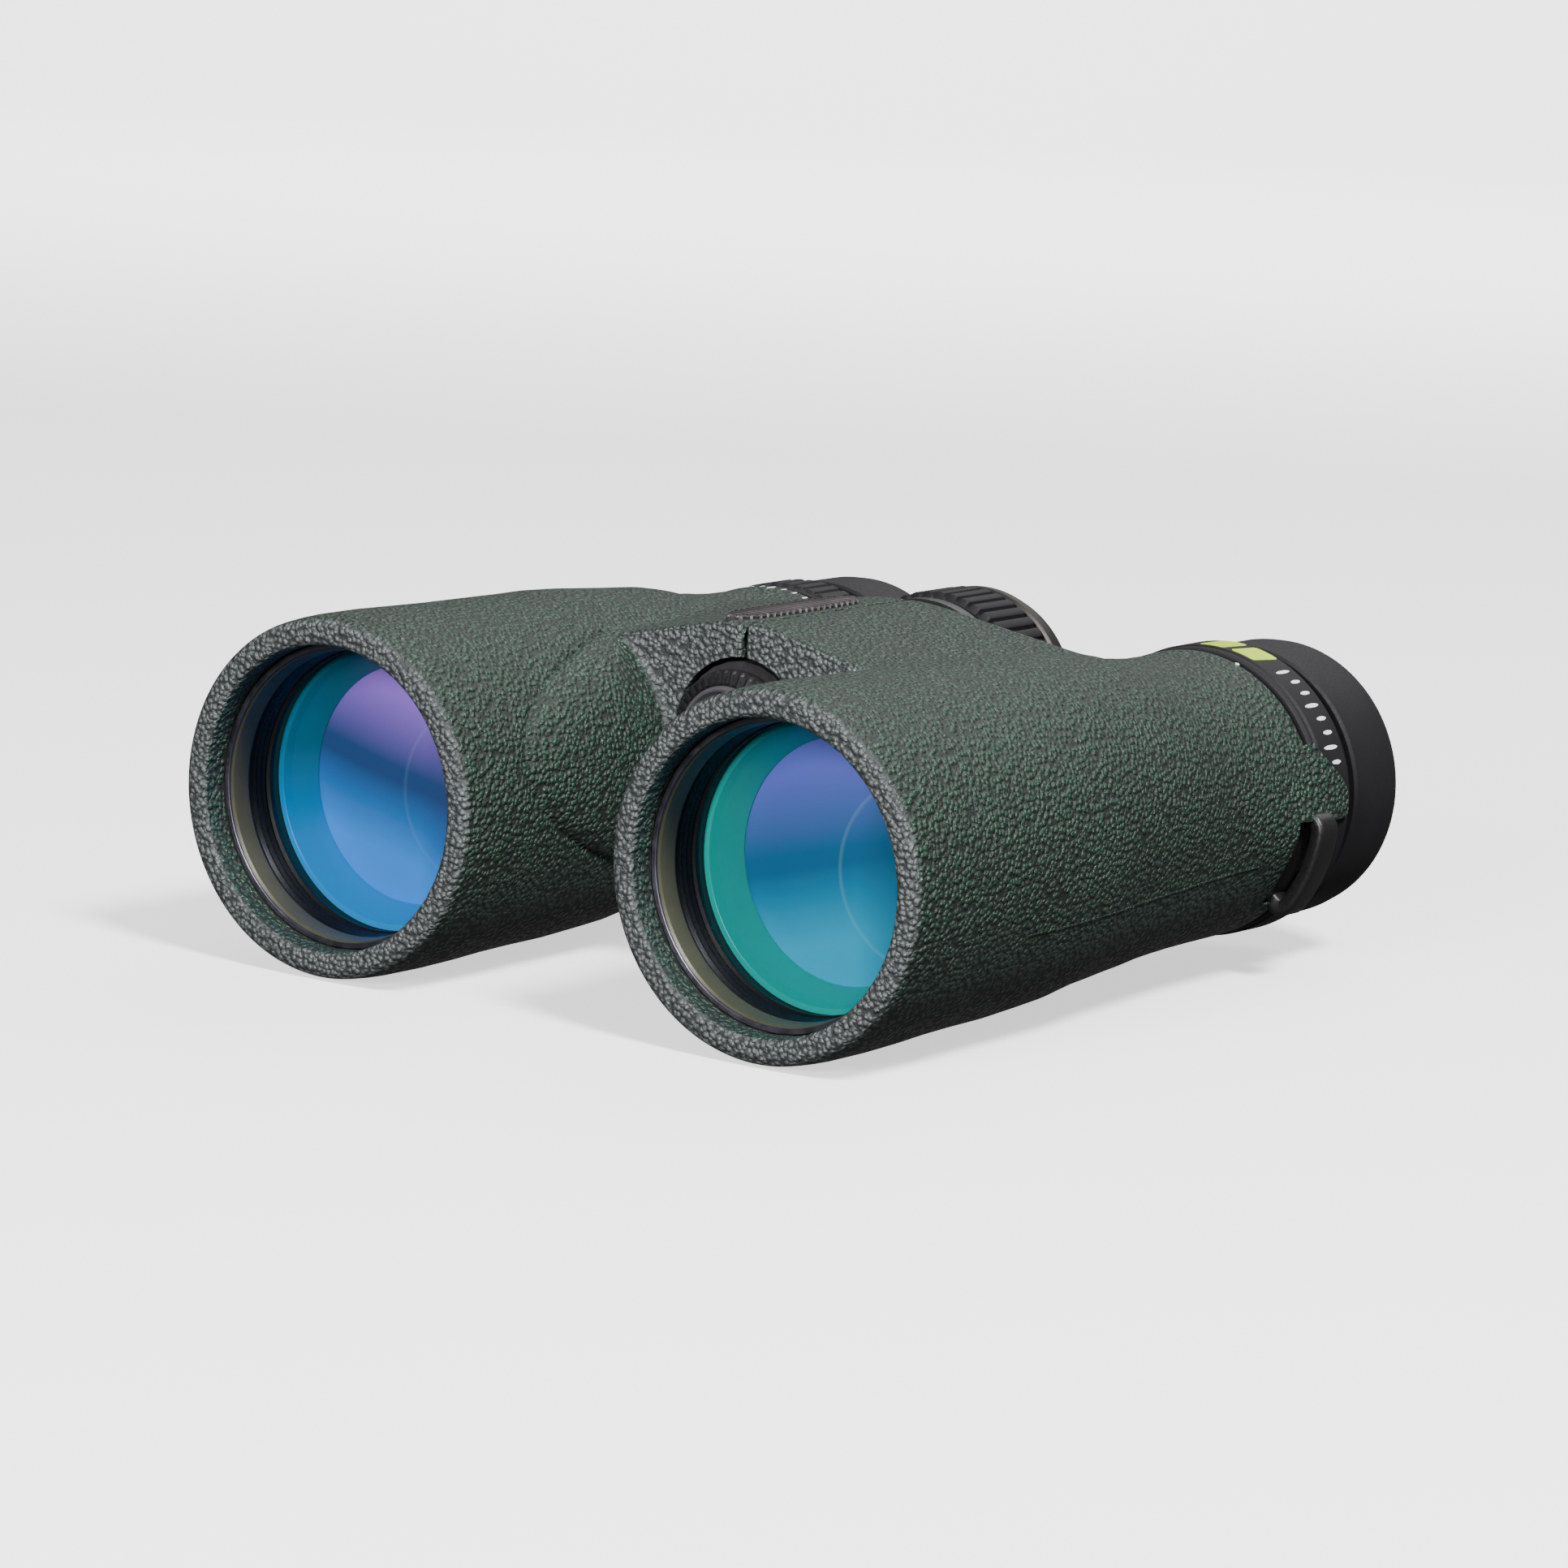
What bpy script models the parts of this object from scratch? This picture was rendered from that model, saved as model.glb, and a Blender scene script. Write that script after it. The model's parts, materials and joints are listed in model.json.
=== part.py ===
"""Folding roof-prism binoculars, built as separate parts.

Metres, +Z up. The objectives face -Y and the eyepieces +Y. X is zero on the bridge hinge, Y is zero
half way along, and Z is zero under the barrels. Sizes below are in millimetres. Lengths along a
barrel, called y, start at the front rim.
"""

import math

import bmesh
import bpy
from mathutils import Vector

MM = 0.001

# Layout
SPACING = 77.2
LENGTH = 135.8
BARREL_R = 26.3
AXIS_Z = BARREL_R
HINGE_RISE = 9.8
HINGE_Z = AXIS_Z + HINGE_RISE
SPLIT = 0.2
FOLD_CLEARANCE_DEG = 147
GAP = 0.3

# Segments round each turned part
FINE = 32
MEDIUM = 24
COARSE = 16

# Barrels: radius against y
ARMOUR_OUTSIDE = [(24.9, 0), (26.0, 1.2), (26.3, 5), (26.3, 13), (25.9, 26), (25.6, 41), (25.3, 54),
                  (24.2, 65), (23.0, 76), (22.2, 86), (21.8, 96), (21.7, 107), (21.4, 109.9)]
ARMOUR_BORE = [(22.0, -1), (22.0, 4.0), (24.0, 4.0), (24.0, 54), (20.0, 90), (20.0, 111)]
HOUSING_OUTSIDE = [(23.7, 4.3), (23.7, 54), (19.7, 90), (19.7, 119.2)]
HOUSING_BORE = [(22.2, 3), (22.2, 56), (18.4, 88), (18.4, 120)]

# Bridge
BRIDGE_FRONT = 46.9
BRIDGE_REAR = 89.4
BRIDGE_TOP = 26.1
BRIDGE_FLAT = 4.0
BRIDGE_SLOPE = (0.23, 0.15)
POCKET_R = 11.3
POCKET_MOUTH_R = 18.0
POCKET_STEPS = 22
WINDOW_X = (5.0, 26.0)
WINDOW_Y = (48.5, 88.0)
WINDOW_Z = (2.6, 17.4)

# Hinge: knuckles on the housings, one arm to each
KNUCKLE_R = 10.7
ARM_X = (7.0, 24.0)
ARM_Z = (3.4, 16.6)
ARM_INSET = 0.2
AXLE_R = 4.2
AXLE_BORE = 2.7
KNUCKLE_BORE = AXLE_R + GAP

# Knuckles along the hinge: y of each one's front and rear face
RIGHT_FRONT_KNUCKLE = (47.4, 54.0)
LEFT_KNUCKLE = (66.0, 76.0)
RIGHT_REAR_KNUCKLE = (77.2, 87.0)
BUSH_R = 6.6
BUSH_BORE = 3.3
BUSH_Y = (47.1, 51.5)
BUSH_SEAT_Y = 51.8
AXLE_Y = (65.6, 91.6)
NUT_R = 6.9
NUT_Y = (87.4, 91.2)
FRICTION_WASHER = (KNUCKLE_BORE, 10.2, 76.3, 76.9)
CAP_WASHER = (3.4, 5.4, 46.4, 46.8)

# Focusing
SPOOL_Y = 59.0
FORK_R = (6.5, 8.8)
FORK_THICK = 2.4
FORK_DEG = (48, 132)
FORK_WINDOW_X = (5.0, 30.0)
FORK_WINDOW_Y = (55.2, 63.6)
FORK_WINDOW_Z = (4.6, 15.0)
FOCUS_ARM_X = (7.8, 19.6)
FOCUS_ARM_Z = (6.2, 12.6)
SPINDLE = [(2.0, 52.2), (2.0, 108.0)]
WHEEL_R = 16.7
WHEEL_RIBS = 24
DIOPTRE_RIBS = 24

# Strap lugs
LUG_DEG = (-4, -39)
LUG_POST_DEG = 6
LUG_BAR_R = (22.4, 24.8)
LUG_BAR_Y = (106.8, 112.4)
LUG_POST_R = (20.1, 23.4)
LUG_POST_Y = (105.0, 109.8)
LUG_ROOM_R = (19.0, 24.0)
LUG_ROOM_Y = (103.8, 111.0)

# Turned parts: loops of (radius, y)
OBJECTIVE_CELL = [(21.25, 8.7), (21.8, 8.7), (21.8, 24), (19.6, 24), (19.6, 17.6), (21.25, 17.6)]
LIGHT_BAFFLE = [(20.8, 25), (21.8, 25), (21.8, 46), (19.0, 46), (19.0, 44.8), (20.8, 44.8)]
PRISM_HOLDER = [(10.8, 69), (17.8, 69), (17.8, 105), (10.8, 105), (10.8, 103.4), (16.5, 103.4),
                (16.5, 70.6), (10.8, 70.6)]
EYECUP_GUIDE = [(16.9, 108), (18.1, 108), (18.1, 119.5), (20.3, 119.7), (20.3, 121.5), (19.2, 121.7),
                (19.2, 131.8), (17.9, 131.8), (17.9, 122), (16.9, 121)]
EYEPIECE_TUBE = [(13.2, 109.4), (16.5, 109.4), (16.5, 111.4), (14.6, 111.4), (14.6, 130.6), (12.3, 130.6),
                 (12.3, 129.6), (13.2, 129.6)]
EYECUP = [(19.6, 122.0), (20.7, 121.9), (21.0, 122.4), (20.9, 132.8), (20.2, 134.8), (18.6, 135.8),
          (15.6, 135.8), (14.9, 135.0), (14.9, 132.9), (19.6, 132.9)]
COLLAR = [(20.0, 110.3), (21.5, 110.3), (21.9, 111.0), (21.9, 118.9), (21.5, 119.3), (20.0, 119.3)]
TRIPOD_CAP = [(0, 42.3), (7.3, 42.3), (7.6, 43.8), (9.5, 44.1), (9.7, 44.6), (9.7, 45.8), (9.4, 46.1),
              (2.9, 46.1), (2.9, 50.4), (0, 50.4)]
SPOOL = [(2.4, 56.4), (9.0, 56.4), (9.0, 57.4), (6.1, 57.4), (6.1, 60.6), (9.0, 60.6), (9.0, 61.6),
         (2.4, 61.6)]
WHEEL_CORE = [(2.3, 92.4), (15.2, 92.4), (15.9, 93.2), (15.9, 95.9), (14.0, 95.9), (14.0, 110.2),
              (10.5, 110.2), (9.5, 108.4), (2.3, 108.4)]
WHEEL_TRIM = [(14.3, 107.2), (16.3, 107.2), (16.5, 107.8), (15.4, 111.5), (14.6, 111.5), (14.3, 110.8)]

# Prisms: loops of (y, height above the barrel axis)
PRISM_HALF_WIDTH = 9.0
ROOF_PRISM = [(88.4, 13.0), (102.0, 8.4), (102.0, -11.6), (98.0, -12.8), (87.2, 10.6)]
HALF_PENTA_PRISM = [(72.0, -11.0), (76.0, -13.0), (96.6, -12.6), (85.8, 10.8), (74.0, 12.0), (72.0, 9.0)]

# Inlay on the bridge: its two long sides, and (y, how much narrower on each side)
INLAY_X = (-9.0, -2.2)
INLAY_STATIONS = ((48.6, 1.8), (51.5, 0.4), (86.0, 0.4))


def material(name, colour, roughness, metallic=0.0, transmission=0.0):
    made = bpy.data.materials.new(name)
    made.use_nodes = True
    made.diffuse_color = (*colour, 1)
    shader = made.node_tree.nodes["Principled BSDF"]
    shader.inputs["Base Color"].default_value = (*colour, 1)
    shader.inputs["Roughness"].default_value = roughness
    shader.inputs["Metallic"].default_value = metallic
    shader.inputs["Transmission Weight"].default_value = transmission
    return made


def mesh_of(points, faces):
    """A bmesh in millimetres, with its faces turned outwards."""
    made = bmesh.new()
    corners = [made.verts.new(point) for point in points]
    for face in faces:
        made.faces.new([corners[i] for i in face])
    bmesh.ops.recalc_face_normals(made, faces=made.faces)
    return made


def turned(profile, x, z, segments):
    """A body of revolution about the line along Y through (x, z). profile is a closed loop of (r, y)."""
    points, rings = [], []
    for r, y in profile:
        if r == 0:
            rings.append([len(points)] * segments)
            points.append((x, y, z))
            continue
        rings.append(list(range(len(points), len(points) + segments)))
        for k in range(segments):
            a = 2 * math.pi * k / segments
            points.append((x + r * math.cos(a), y, z + r * math.sin(a)))
    faces = []
    for i, ring in enumerate(rings):
        after = rings[(i + 1) % len(rings)]
        for k in range(segments):
            n = (k + 1) % segments
            loop = [ring[k], ring[n], after[n], after[k]]
            corners = [p for j, p in enumerate(loop) if p != loop[j - 1]]
            if len(corners) > 2:
                faces.append(corners)
    return mesh_of(points, faces)


def solid_of(outline):
    """The closed profile of a solid turned body from its outline, front to rear."""
    return [(0, outline[0][1]), *outline, (0, outline[-1][1])]


def prism(outline, y0, y1):
    """A prism along Y. outline is a loop of (x, z)."""
    n = len(outline)
    points = [(x, y, z) for y in (y0, y1) for x, z in outline]
    sides = [(i, (i + 1) % n, n + (i + 1) % n, n + i) for i in range(n)]
    return mesh_of(points, [tuple(range(n)), tuple(range(2 * n - 1, n - 1, -1)), *sides])


def loft(sections):
    """A closed body through sections of equal length, each a loop of (x, y, z)."""
    n = len(sections[0])
    points = [point for section in sections for point in section]
    faces = [tuple(range(n)), tuple(range(len(points) - 1, len(points) - n - 1, -1))]
    for s in range(len(sections) - 1):
        for i in range(n):
            j = (i + 1) % n
            faces.append((s * n + i, s * n + j, (s + 1) * n + j, (s + 1) * n + i))
    return mesh_of(points, faces)


def side_box(side, across, along, above):
    """A box on one side of the hinge: its distances from the hinge plane, its y, and its heights above the axes."""
    x0, x1 = (side * across[0], side * across[1])
    z0, z1 = (AXIS_Z + above[0], AXIS_Z + above[1])
    return prism([(x0, z0), (x1, z0), (x1, z1), (x0, z1)], *along)


def arc_strip(x, z, radii, degrees, steps, side=1):
    """The loop of a part of a ring about (x, z). Angles run from +X towards +Z, mirrored for side -1."""
    angles = [math.radians(degrees[0] + (degrees[1] - degrees[0]) * i / steps) for i in range(steps + 1)]
    out = [(x + side * radii[1] * math.cos(a), z + radii[1] * math.sin(a)) for a in angles]
    back = [(x + side * radii[0] * math.cos(a), z + radii[0] * math.sin(a)) for a in reversed(angles)]
    return out + back


def place(name, made, look, origin, parent=None, smooth=True):
    """Makes the object. origin is its own origin in millimetres, on its joint axis if it moves."""
    row = Vector((0, -LENGTH / 2, 0))
    for corner in made.verts:
        corner.co = (corner.co + row - Vector(origin)) * MM
    data = bpy.data.meshes.new(name)
    made.to_mesh(data)
    made.free()
    thing = bpy.data.objects.new(name, data)
    bpy.context.scene.collection.objects.link(thing)
    if look:
        data.materials.append(look)
    if smooth:
        data.shade_smooth()
        data.set_sharp_from_angle(angle=math.radians(32))
    here = Vector(origin) * MM
    thing.parent = parent
    thing.location = here - world_of(parent)
    return thing


def world_of(thing):
    where = Vector((0, 0, 0))
    while thing:
        where += thing.location
        thing = thing.parent
    return where


def pivot(name, origin, parent=None):
    """An empty on a joint's axis."""
    thing = bpy.data.objects.new(name, None)
    thing.empty_display_size = 0.01
    bpy.context.scene.collection.objects.link(thing)
    thing.parent = parent
    thing.location = Vector(origin) * MM - world_of(parent)
    return thing


def combine(target, tool, operation):
    """Adds the tool to the target, or cuts it away, and keeps the tool as a hidden helper."""
    tool.hide_render = True
    tool.display_type = "WIRE"
    step = target.modifiers.new(f"{operation.lower()}_{tool.name}", "BOOLEAN")
    step.operation = operation
    step.solver = "EXACT"
    step.object = tool


def bridge_top(from_hinge, y):
    """Height of the bridge above the barrel axes at a distance from the hinge plane."""
    front, rear = BRIDGE_SLOPE
    slope = front + (rear - front) * (y - BRIDGE_FRONT) / (BRIDGE_REAR - BRIDGE_FRONT)
    return BRIDGE_TOP - slope * max(0.0, from_hinge - BRIDGE_FLAT)


def bridge_section(side, y, drop):
    """One section of a bridge half, from the split between the halves to inside the barrel."""
    across = [SPLIT, 4.0, 10.0, 16.0, 22.0, 25.0]
    top = [(d, bridge_top(d, y) - drop) for d in across]
    bottom = [(38.6, 6.0), (33.0, -4.0), (19.0, -9.0 + drop), (10.0, -4.6 + drop), (SPLIT, -3.4 + drop)]
    return [(side * d, y, AXIS_Z + z) for d, z in [*top, (33.0, 12.0), *bottom]]


def build_armour(side, name, parent, origin, look):
    x = side * SPACING / 2
    skin = place(f"{name}_armour", turned(solid_of(ARMOUR_OUTSIDE), x, AXIS_Z, FINE), look, origin, parent)
    stations = [(BRIDGE_FRONT, 0.9), (47.7, 0.2), (49.5, 0.0), (68.0, 0.0), (85.0, 0.0), (88.2, 0.5),
                (BRIDGE_REAR, 1.5)]
    half = place(f"{name}_bridge_half", loft([bridge_section(side, y, d) for y, d in stations]),
                 None, origin, parent)
    combine(skin, half, "UNION")
    bore = place(f"{name}_armour_bore", turned(solid_of(ARMOUR_BORE), x, AXIS_Z, FINE), None, origin, parent)
    combine(skin, bore, "DIFFERENCE")
    loop = []
    for i in range(POCKET_STEPS + 1):
        a = math.radians(90 + FOLD_CLEARANCE_DEG - 2 * FOLD_CLEARANCE_DEG * i / POCKET_STEPS)
        loop.append((POCKET_R * math.cos(a), HINGE_Z + POCKET_R * math.sin(a)))
    for a in (math.radians(90 - FOLD_CLEARANCE_DEG), math.radians(90 + FOLD_CLEARANCE_DEG)):
        loop.append((POCKET_MOUTH_R * math.cos(a), HINGE_Z + POCKET_MOUTH_R * math.sin(a)))
    pocket = place(f"{name}_pocket_cut", prism(loop, BRIDGE_FRONT - 2, BRIDGE_REAR + 2), None, origin, parent)
    combine(skin, pocket, "DIFFERENCE")
    window = place(f"{name}_window_cut", side_box(side, WINDOW_X, WINDOW_Y, WINDOW_Z), None, origin, parent)
    combine(skin, window, "DIFFERENCE")
    lug_room = prism(arc_strip(x, AXIS_Z, LUG_ROOM_R, (LUG_DEG[0] + 2, LUG_DEG[1] - 2), 6, side), *LUG_ROOM_Y)
    combine(skin, place(f"{name}_lug_cut", lug_room, None, origin, parent), "DIFFERENCE")
    return skin


def build_housing(side, name, parent, origin, look, knuckles):
    x = side * SPACING / 2
    body = place(f"{name}_barrel_housing", turned(solid_of(HOUSING_OUTSIDE), x, AXIS_Z, FINE), look,
                 origin, parent)
    for number, (y0, y1) in enumerate(knuckles):
        front = max(y0 + ARM_INSET, WINDOW_Y[0] + 2 * ARM_INSET)
        arm = side_box(side, ARM_X, (front, y1 - ARM_INSET), ARM_Z)
        combine(body, place(f"{name}_arm_{number}", arm, None, origin, parent), "UNION")
        ring = turned(solid_of([(KNUCKLE_R, y0), (KNUCKLE_R, y1)]), 0, HINGE_Z, MEDIUM)
        combine(body, place(f"{name}_knuckle_{number}", ring, None, origin, parent), "UNION")
    pin_hole = [(BUSH_R + GAP, 46), (BUSH_R + GAP, BUSH_SEAT_Y), (AXLE_BORE, BUSH_SEAT_Y), (AXLE_BORE, 60),
                (KNUCKLE_BORE, 60), (KNUCKLE_BORE, 91)]
    hole = place(f"{name}_hinge_hole", turned(solid_of(pin_hole), 0, HINGE_Z, COARSE), None, origin, parent)
    combine(body, hole, "DIFFERENCE")
    window = side_box(side, FORK_WINDOW_X, FORK_WINDOW_Y, FORK_WINDOW_Z)
    combine(body, place(f"{name}_fork_window", window, None, origin, parent), "DIFFERENCE")
    bore = place(f"{name}_housing_bore", turned(solid_of(HOUSING_BORE), x, AXIS_Z, FINE), None, origin, parent)
    combine(body, bore, "DIFFERENCE")
    return body


def lens(x, z, radius, front, rear, front_bulge, rear_bulge):
    """A lens between two edge planes. A bulge is how far a face stands out at its middle."""
    def face(y, bulge):
        return [(radius * k / 3, y + bulge * (1 - (k / 3) ** 2)) for k in range(4)]

    outline = face(front, -front_bulge) + face(rear, rear_bulge)[::-1]
    return turned(outline, x, z, COARSE)


def ring(x, z, r_in, r_out, y0, y1, segments=COARSE):
    return turned([(r_in, y0), (r_out, y0), (r_out, y1), (r_in, y1)], x, z, segments)


def ribbed(x, z, r_in, r_root, r_top, y0, y1, ribs):
    """A ring with straight ribs along it, closed by flat ends."""
    outer, inner = [], []
    for k in range(ribs):
        for part, r in ((0.0, r_root), (0.22, r_root), (0.32, r_top), (0.90, r_top)):
            a = 2 * math.pi * (k + part) / ribs
            outer.append((r * math.cos(a), r * math.sin(a)))
            inner.append((r_in * math.cos(a), r_in * math.sin(a)))
    n = len(outer)
    points = [(x + px, y, z + pz) for loop in (outer, inner) for y in (y0, y1) for px, pz in loop]
    faces = []
    for i in range(n):
        j = (i + 1) % n
        faces += [(i, j, n + j, n + i), (2 * n + i, 2 * n + j, 3 * n + j, 3 * n + i),
                  (i, j, 2 * n + j, 2 * n + i), (n + i, n + j, 3 * n + j, 3 * n + i)]
    return mesh_of(points, faces)


def build_lug(side, x):
    """A strap bar on two posts, over the outer side of the barrel."""
    top, low = LUG_DEG
    bar = prism(arc_strip(x, AXIS_Z, LUG_BAR_R, (top, low), 6, side), *LUG_BAR_Y)
    posts = [prism(arc_strip(x, AXIS_Z, LUG_POST_R, span, 2, side), *LUG_POST_Y)
             for span in ((top, top - LUG_POST_DEG), (low + LUG_POST_DEG, low))]
    return bar, posts


def fork(side, x, parent, origin, name, look):
    """The cell of the focusing lens, with an arm that ends in a fork round the focusing spool."""
    cell = place(f"{name}_focus_cell", ring(x, AXIS_Z, 17.2, 20.6, 50.5, 60.2), look, origin, parent)
    y0, y1 = SPOOL_Y - FORK_THICK / 2, SPOOL_Y + FORK_THICK / 2
    turn = prism(arc_strip(0, HINGE_Z, FORK_R, (90 - FORK_DEG[0], 90 - FORK_DEG[1]), 6, side), y0, y1)
    arm = side_box(side, FOCUS_ARM_X, (y0, y1), FOCUS_ARM_Z)
    combine(cell, place(f"{name}_focus_arm", arm, None, origin, parent), "UNION")
    combine(cell, place(f"{name}_focus_fork", turn, None, origin, parent), "UNION")
    return cell


def glass_block(x, outline):
    """One prism of the erecting pair, as wide on both sides of the barrel axis, from its loop of (y, height)."""
    points = [(x + s * PRISM_HALF_WIDTH, y, AXIS_Z + z) for s in (-1, 1) for y, z in outline]
    n = len(outline)
    sides = [(i, (i + 1) % n, n + (i + 1) % n, n + i) for i in range(n)]
    return mesh_of(points, [tuple(range(n)), tuple(range(2 * n - 1, n - 1, -1)), *sides])


def clear_scene():
    for thing in list(bpy.data.objects):
        bpy.data.objects.remove(thing, do_unlink=True)


def build_barrel(side, name, looks, parent, knuckles):
    x, z = side * SPACING / 2, AXIS_Z
    hinge = (0, 0, HINGE_Z) if side > 0 else (x, 0, z)
    own = (x, 0, z)

    build_armour(side, name, parent, hinge, looks["armour"])
    build_housing(side, name, parent, hinge, looks["cast"], knuckles)
    put = [
        ("retaining_ring", ring(x, z, 21.0, 21.7, 4.5, 8.4, MEDIUM), "olive"),
        ("objective_cell", turned(OBJECTIVE_CELL, x, z, MEDIUM), "black_metal"),
        ("objective_front_lens", lens(x, z, 20.9, 13.4, 16.6, 2.2, 0.3), "glass"),
        ("objective_rear_lens", lens(x, z, 19.2, 18.4, 22.0, 0.6, 0.4), "glass"),
        ("light_baffle", turned(LIGHT_BAFFLE, x, z, COARSE), "black_metal"),
        ("prism_holder", turned(PRISM_HOLDER, x, z, COARSE), "cast"),
        ("half_penta_prism", glass_block(x, HALF_PENTA_PRISM), "glass"),
        ("roof_prism", glass_block(x, ROOF_PRISM), "glass"),
        ("eyecup_guide", turned(EYECUP_GUIDE, x, z, MEDIUM), "black_metal"),
    ]
    for part, made, look in put:
        place(f"{name}_{part}", made, looks[look], own, parent, smooth="prism" not in part)

    bar, posts = build_lug(side, x)
    lug = place(f"{name}_strap_lug", bar, looks["black_plastic"], own, parent)
    for number, post in enumerate(posts):
        combine(lug, place(f"{name}_lug_post_{number}", post, None, own, parent), "UNION")

    sliding = pivot(f"{name}_focus_slide", own, parent)
    fork(side, x, sliding, own, name, looks["cast"])
    place(f"{name}_focus_lens", lens(x, z, 16.9, 52.4, 55.0, -0.8, 1.6), looks["glass"], own, sliding)

    eyepiece = pivot(f"{name}_eyepiece_slide", own, parent) if side < 0 else parent
    place(f"{name}_eyepiece_tube", turned(EYEPIECE_TUBE, x, z, COARSE), looks["black_metal"], own, eyepiece)
    place(f"{name}_field_lens", lens(x, z, 12.9, 112.5, 115.5, 1.2, 1.2), looks["glass"], own, eyepiece)
    place(f"{name}_eye_lens", lens(x, z, 12.9, 122.4, 126.0, 1.6, 1.4), looks["glass"], own, eyepiece)

    keyed = pivot(f"{name}_eyecup_slide", own, parent)
    slider = ring(x, z, 15.2, 17.5, 122.7, 132.6)
    place(f"{name}_eyecup_slider", slider, looks["black_plastic"], own, keyed)
    place(f"{name}_eyecup", turned(EYECUP, x, z, FINE), looks["rubber"], own, keyed)


def main():
    clear_scene()
    looks = {
        "armour": material("armour_rubber", (0.030, 0.062, 0.046), 0.55),
        "cast": material("cast_housing", (0.05, 0.05, 0.055), 0.5, 0.6),
        "olive": material("olive_anodised", (0.16, 0.15, 0.11), 0.4, 0.6),
        "black_metal": material("black_anodised", (0.015, 0.015, 0.017), 0.4, 0.5),
        "black_plastic": material("black_plastic", (0.02, 0.02, 0.022), 0.5),
        "rubber": material("charcoal_rubber", (0.022, 0.022, 0.026), 0.7),
        "steel": material("steel", (0.45, 0.44, 0.43), 0.35, 1.0),
        "grey_metal": material("grey_anodised", (0.19, 0.18, 0.17), 0.4, 0.8),
        "glass": material("coated_glass", (0.35, 0.75, 0.8), 0.03, 0.0, 1.0),
    }
    hinge = (0, 0, HINGE_Z)
    fold = pivot("hinge_fold", hinge)
    build_barrel(1, "left", looks, fold, [LEFT_KNUCKLE])
    build_barrel(-1, "right", looks, None, [RIGHT_FRONT_KNUCKLE, RIGHT_REAR_KNUCKLE])

    left = (SPACING / 2, 0, AXIS_Z)
    place("left_collar_ring", turned(COLLAR, left[0], AXIS_Z, FINE), looks["black_plastic"], left, fold)
    right = (-SPACING / 2, 0, AXIS_Z)
    place("dioptre_ring", ribbed(right[0], AXIS_Z, 20.0, 21.2, 21.7, 110.3, 119.3, DIOPTRE_RIBS),
          looks["black_plastic"], right, smooth=False)

    # Hinge hardware
    place("hinge_axle", ring(0, HINGE_Z, AXLE_BORE, AXLE_R, *AXLE_Y), looks["steel"], hinge)
    corners = [math.radians(60 * k) for k in range(6)]
    nut = [(NUT_R * math.cos(a), HINGE_Z + NUT_R * math.sin(a)) for a in corners]
    hexagon = place("hinge_nut", prism(nut, *NUT_Y), looks["steel"], hinge, smooth=False)
    nut_hole = turned(solid_of([(KNUCKLE_BORE, 86), (KNUCKLE_BORE, 93)]), 0, HINGE_Z, COARSE)
    combine(hexagon, place("hinge_nut_hole", nut_hole, None, hinge), "DIFFERENCE")
    place("hinge_friction_washer", ring(0, HINGE_Z, *FRICTION_WASHER), looks["olive"], hinge)
    place("tripod_bush", ring(0, HINGE_Z, BUSH_BORE, BUSH_R, *BUSH_Y), looks["steel"], hinge)

    # Tripod socket cap and its washer
    unscrew = pivot("cap_slide", hinge)
    place("tripod_cap_washer", ring(0, HINGE_Z, *CAP_WASHER), looks["rubber"], hinge, unscrew)
    place("tripod_cap", turned(TRIPOD_CAP, 0, HINGE_Z, MEDIUM), looks["black_plastic"], hinge, unscrew)

    # Focusing
    place("focus_spool", turned(SPOOL, 0, HINGE_Z, COARSE), looks["steel"], hinge)
    wheel = pivot("focus_wheel_turn", hinge)
    place("focus_spindle", turned(solid_of(SPINDLE), 0, HINGE_Z, COARSE), looks["steel"], hinge, wheel)
    place("focus_wheel_core", turned(WHEEL_CORE, 0, HINGE_Z, MEDIUM), looks["black_plastic"], hinge, wheel)
    grip = ribbed(0, HINGE_Z, 14.3, 15.7, WHEEL_R, 96.2, 106.9, WHEEL_RIBS)
    place("focus_wheel_grip", grip, looks["rubber"], hinge, wheel, smooth=False)
    place("focus_wheel_trim", turned(WHEEL_TRIM, 0, HINGE_Z, FINE), looks["grey_metal"], hinge, wheel)

    # Ribbed inlay on the right half of the bridge
    ground = AXIS_Z + BRIDGE_TOP
    outer, inner = INLAY_X
    inlay = loft([[(outer + w, y, ground - 0.6), (inner - w, y, ground + 0.3), (inner - w, y, ground + 0.8),
                   (outer + w, y, ground + 0.3)] for y, w in INLAY_STATIONS])
    place("bridge_inlay", inlay, looks["rubber"], hinge)


main()
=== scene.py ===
"""Looks of the folding roof-prism binoculars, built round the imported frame.

Sizes are in millimetres. Lengths along a barrel, called y, start at the front rim, and every
place is worked out from the frame's boxes and joints.
"""

import json
import math

import bmesh
import bpy
import numpy as np
from mathutils import Matrix, Vector


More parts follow.
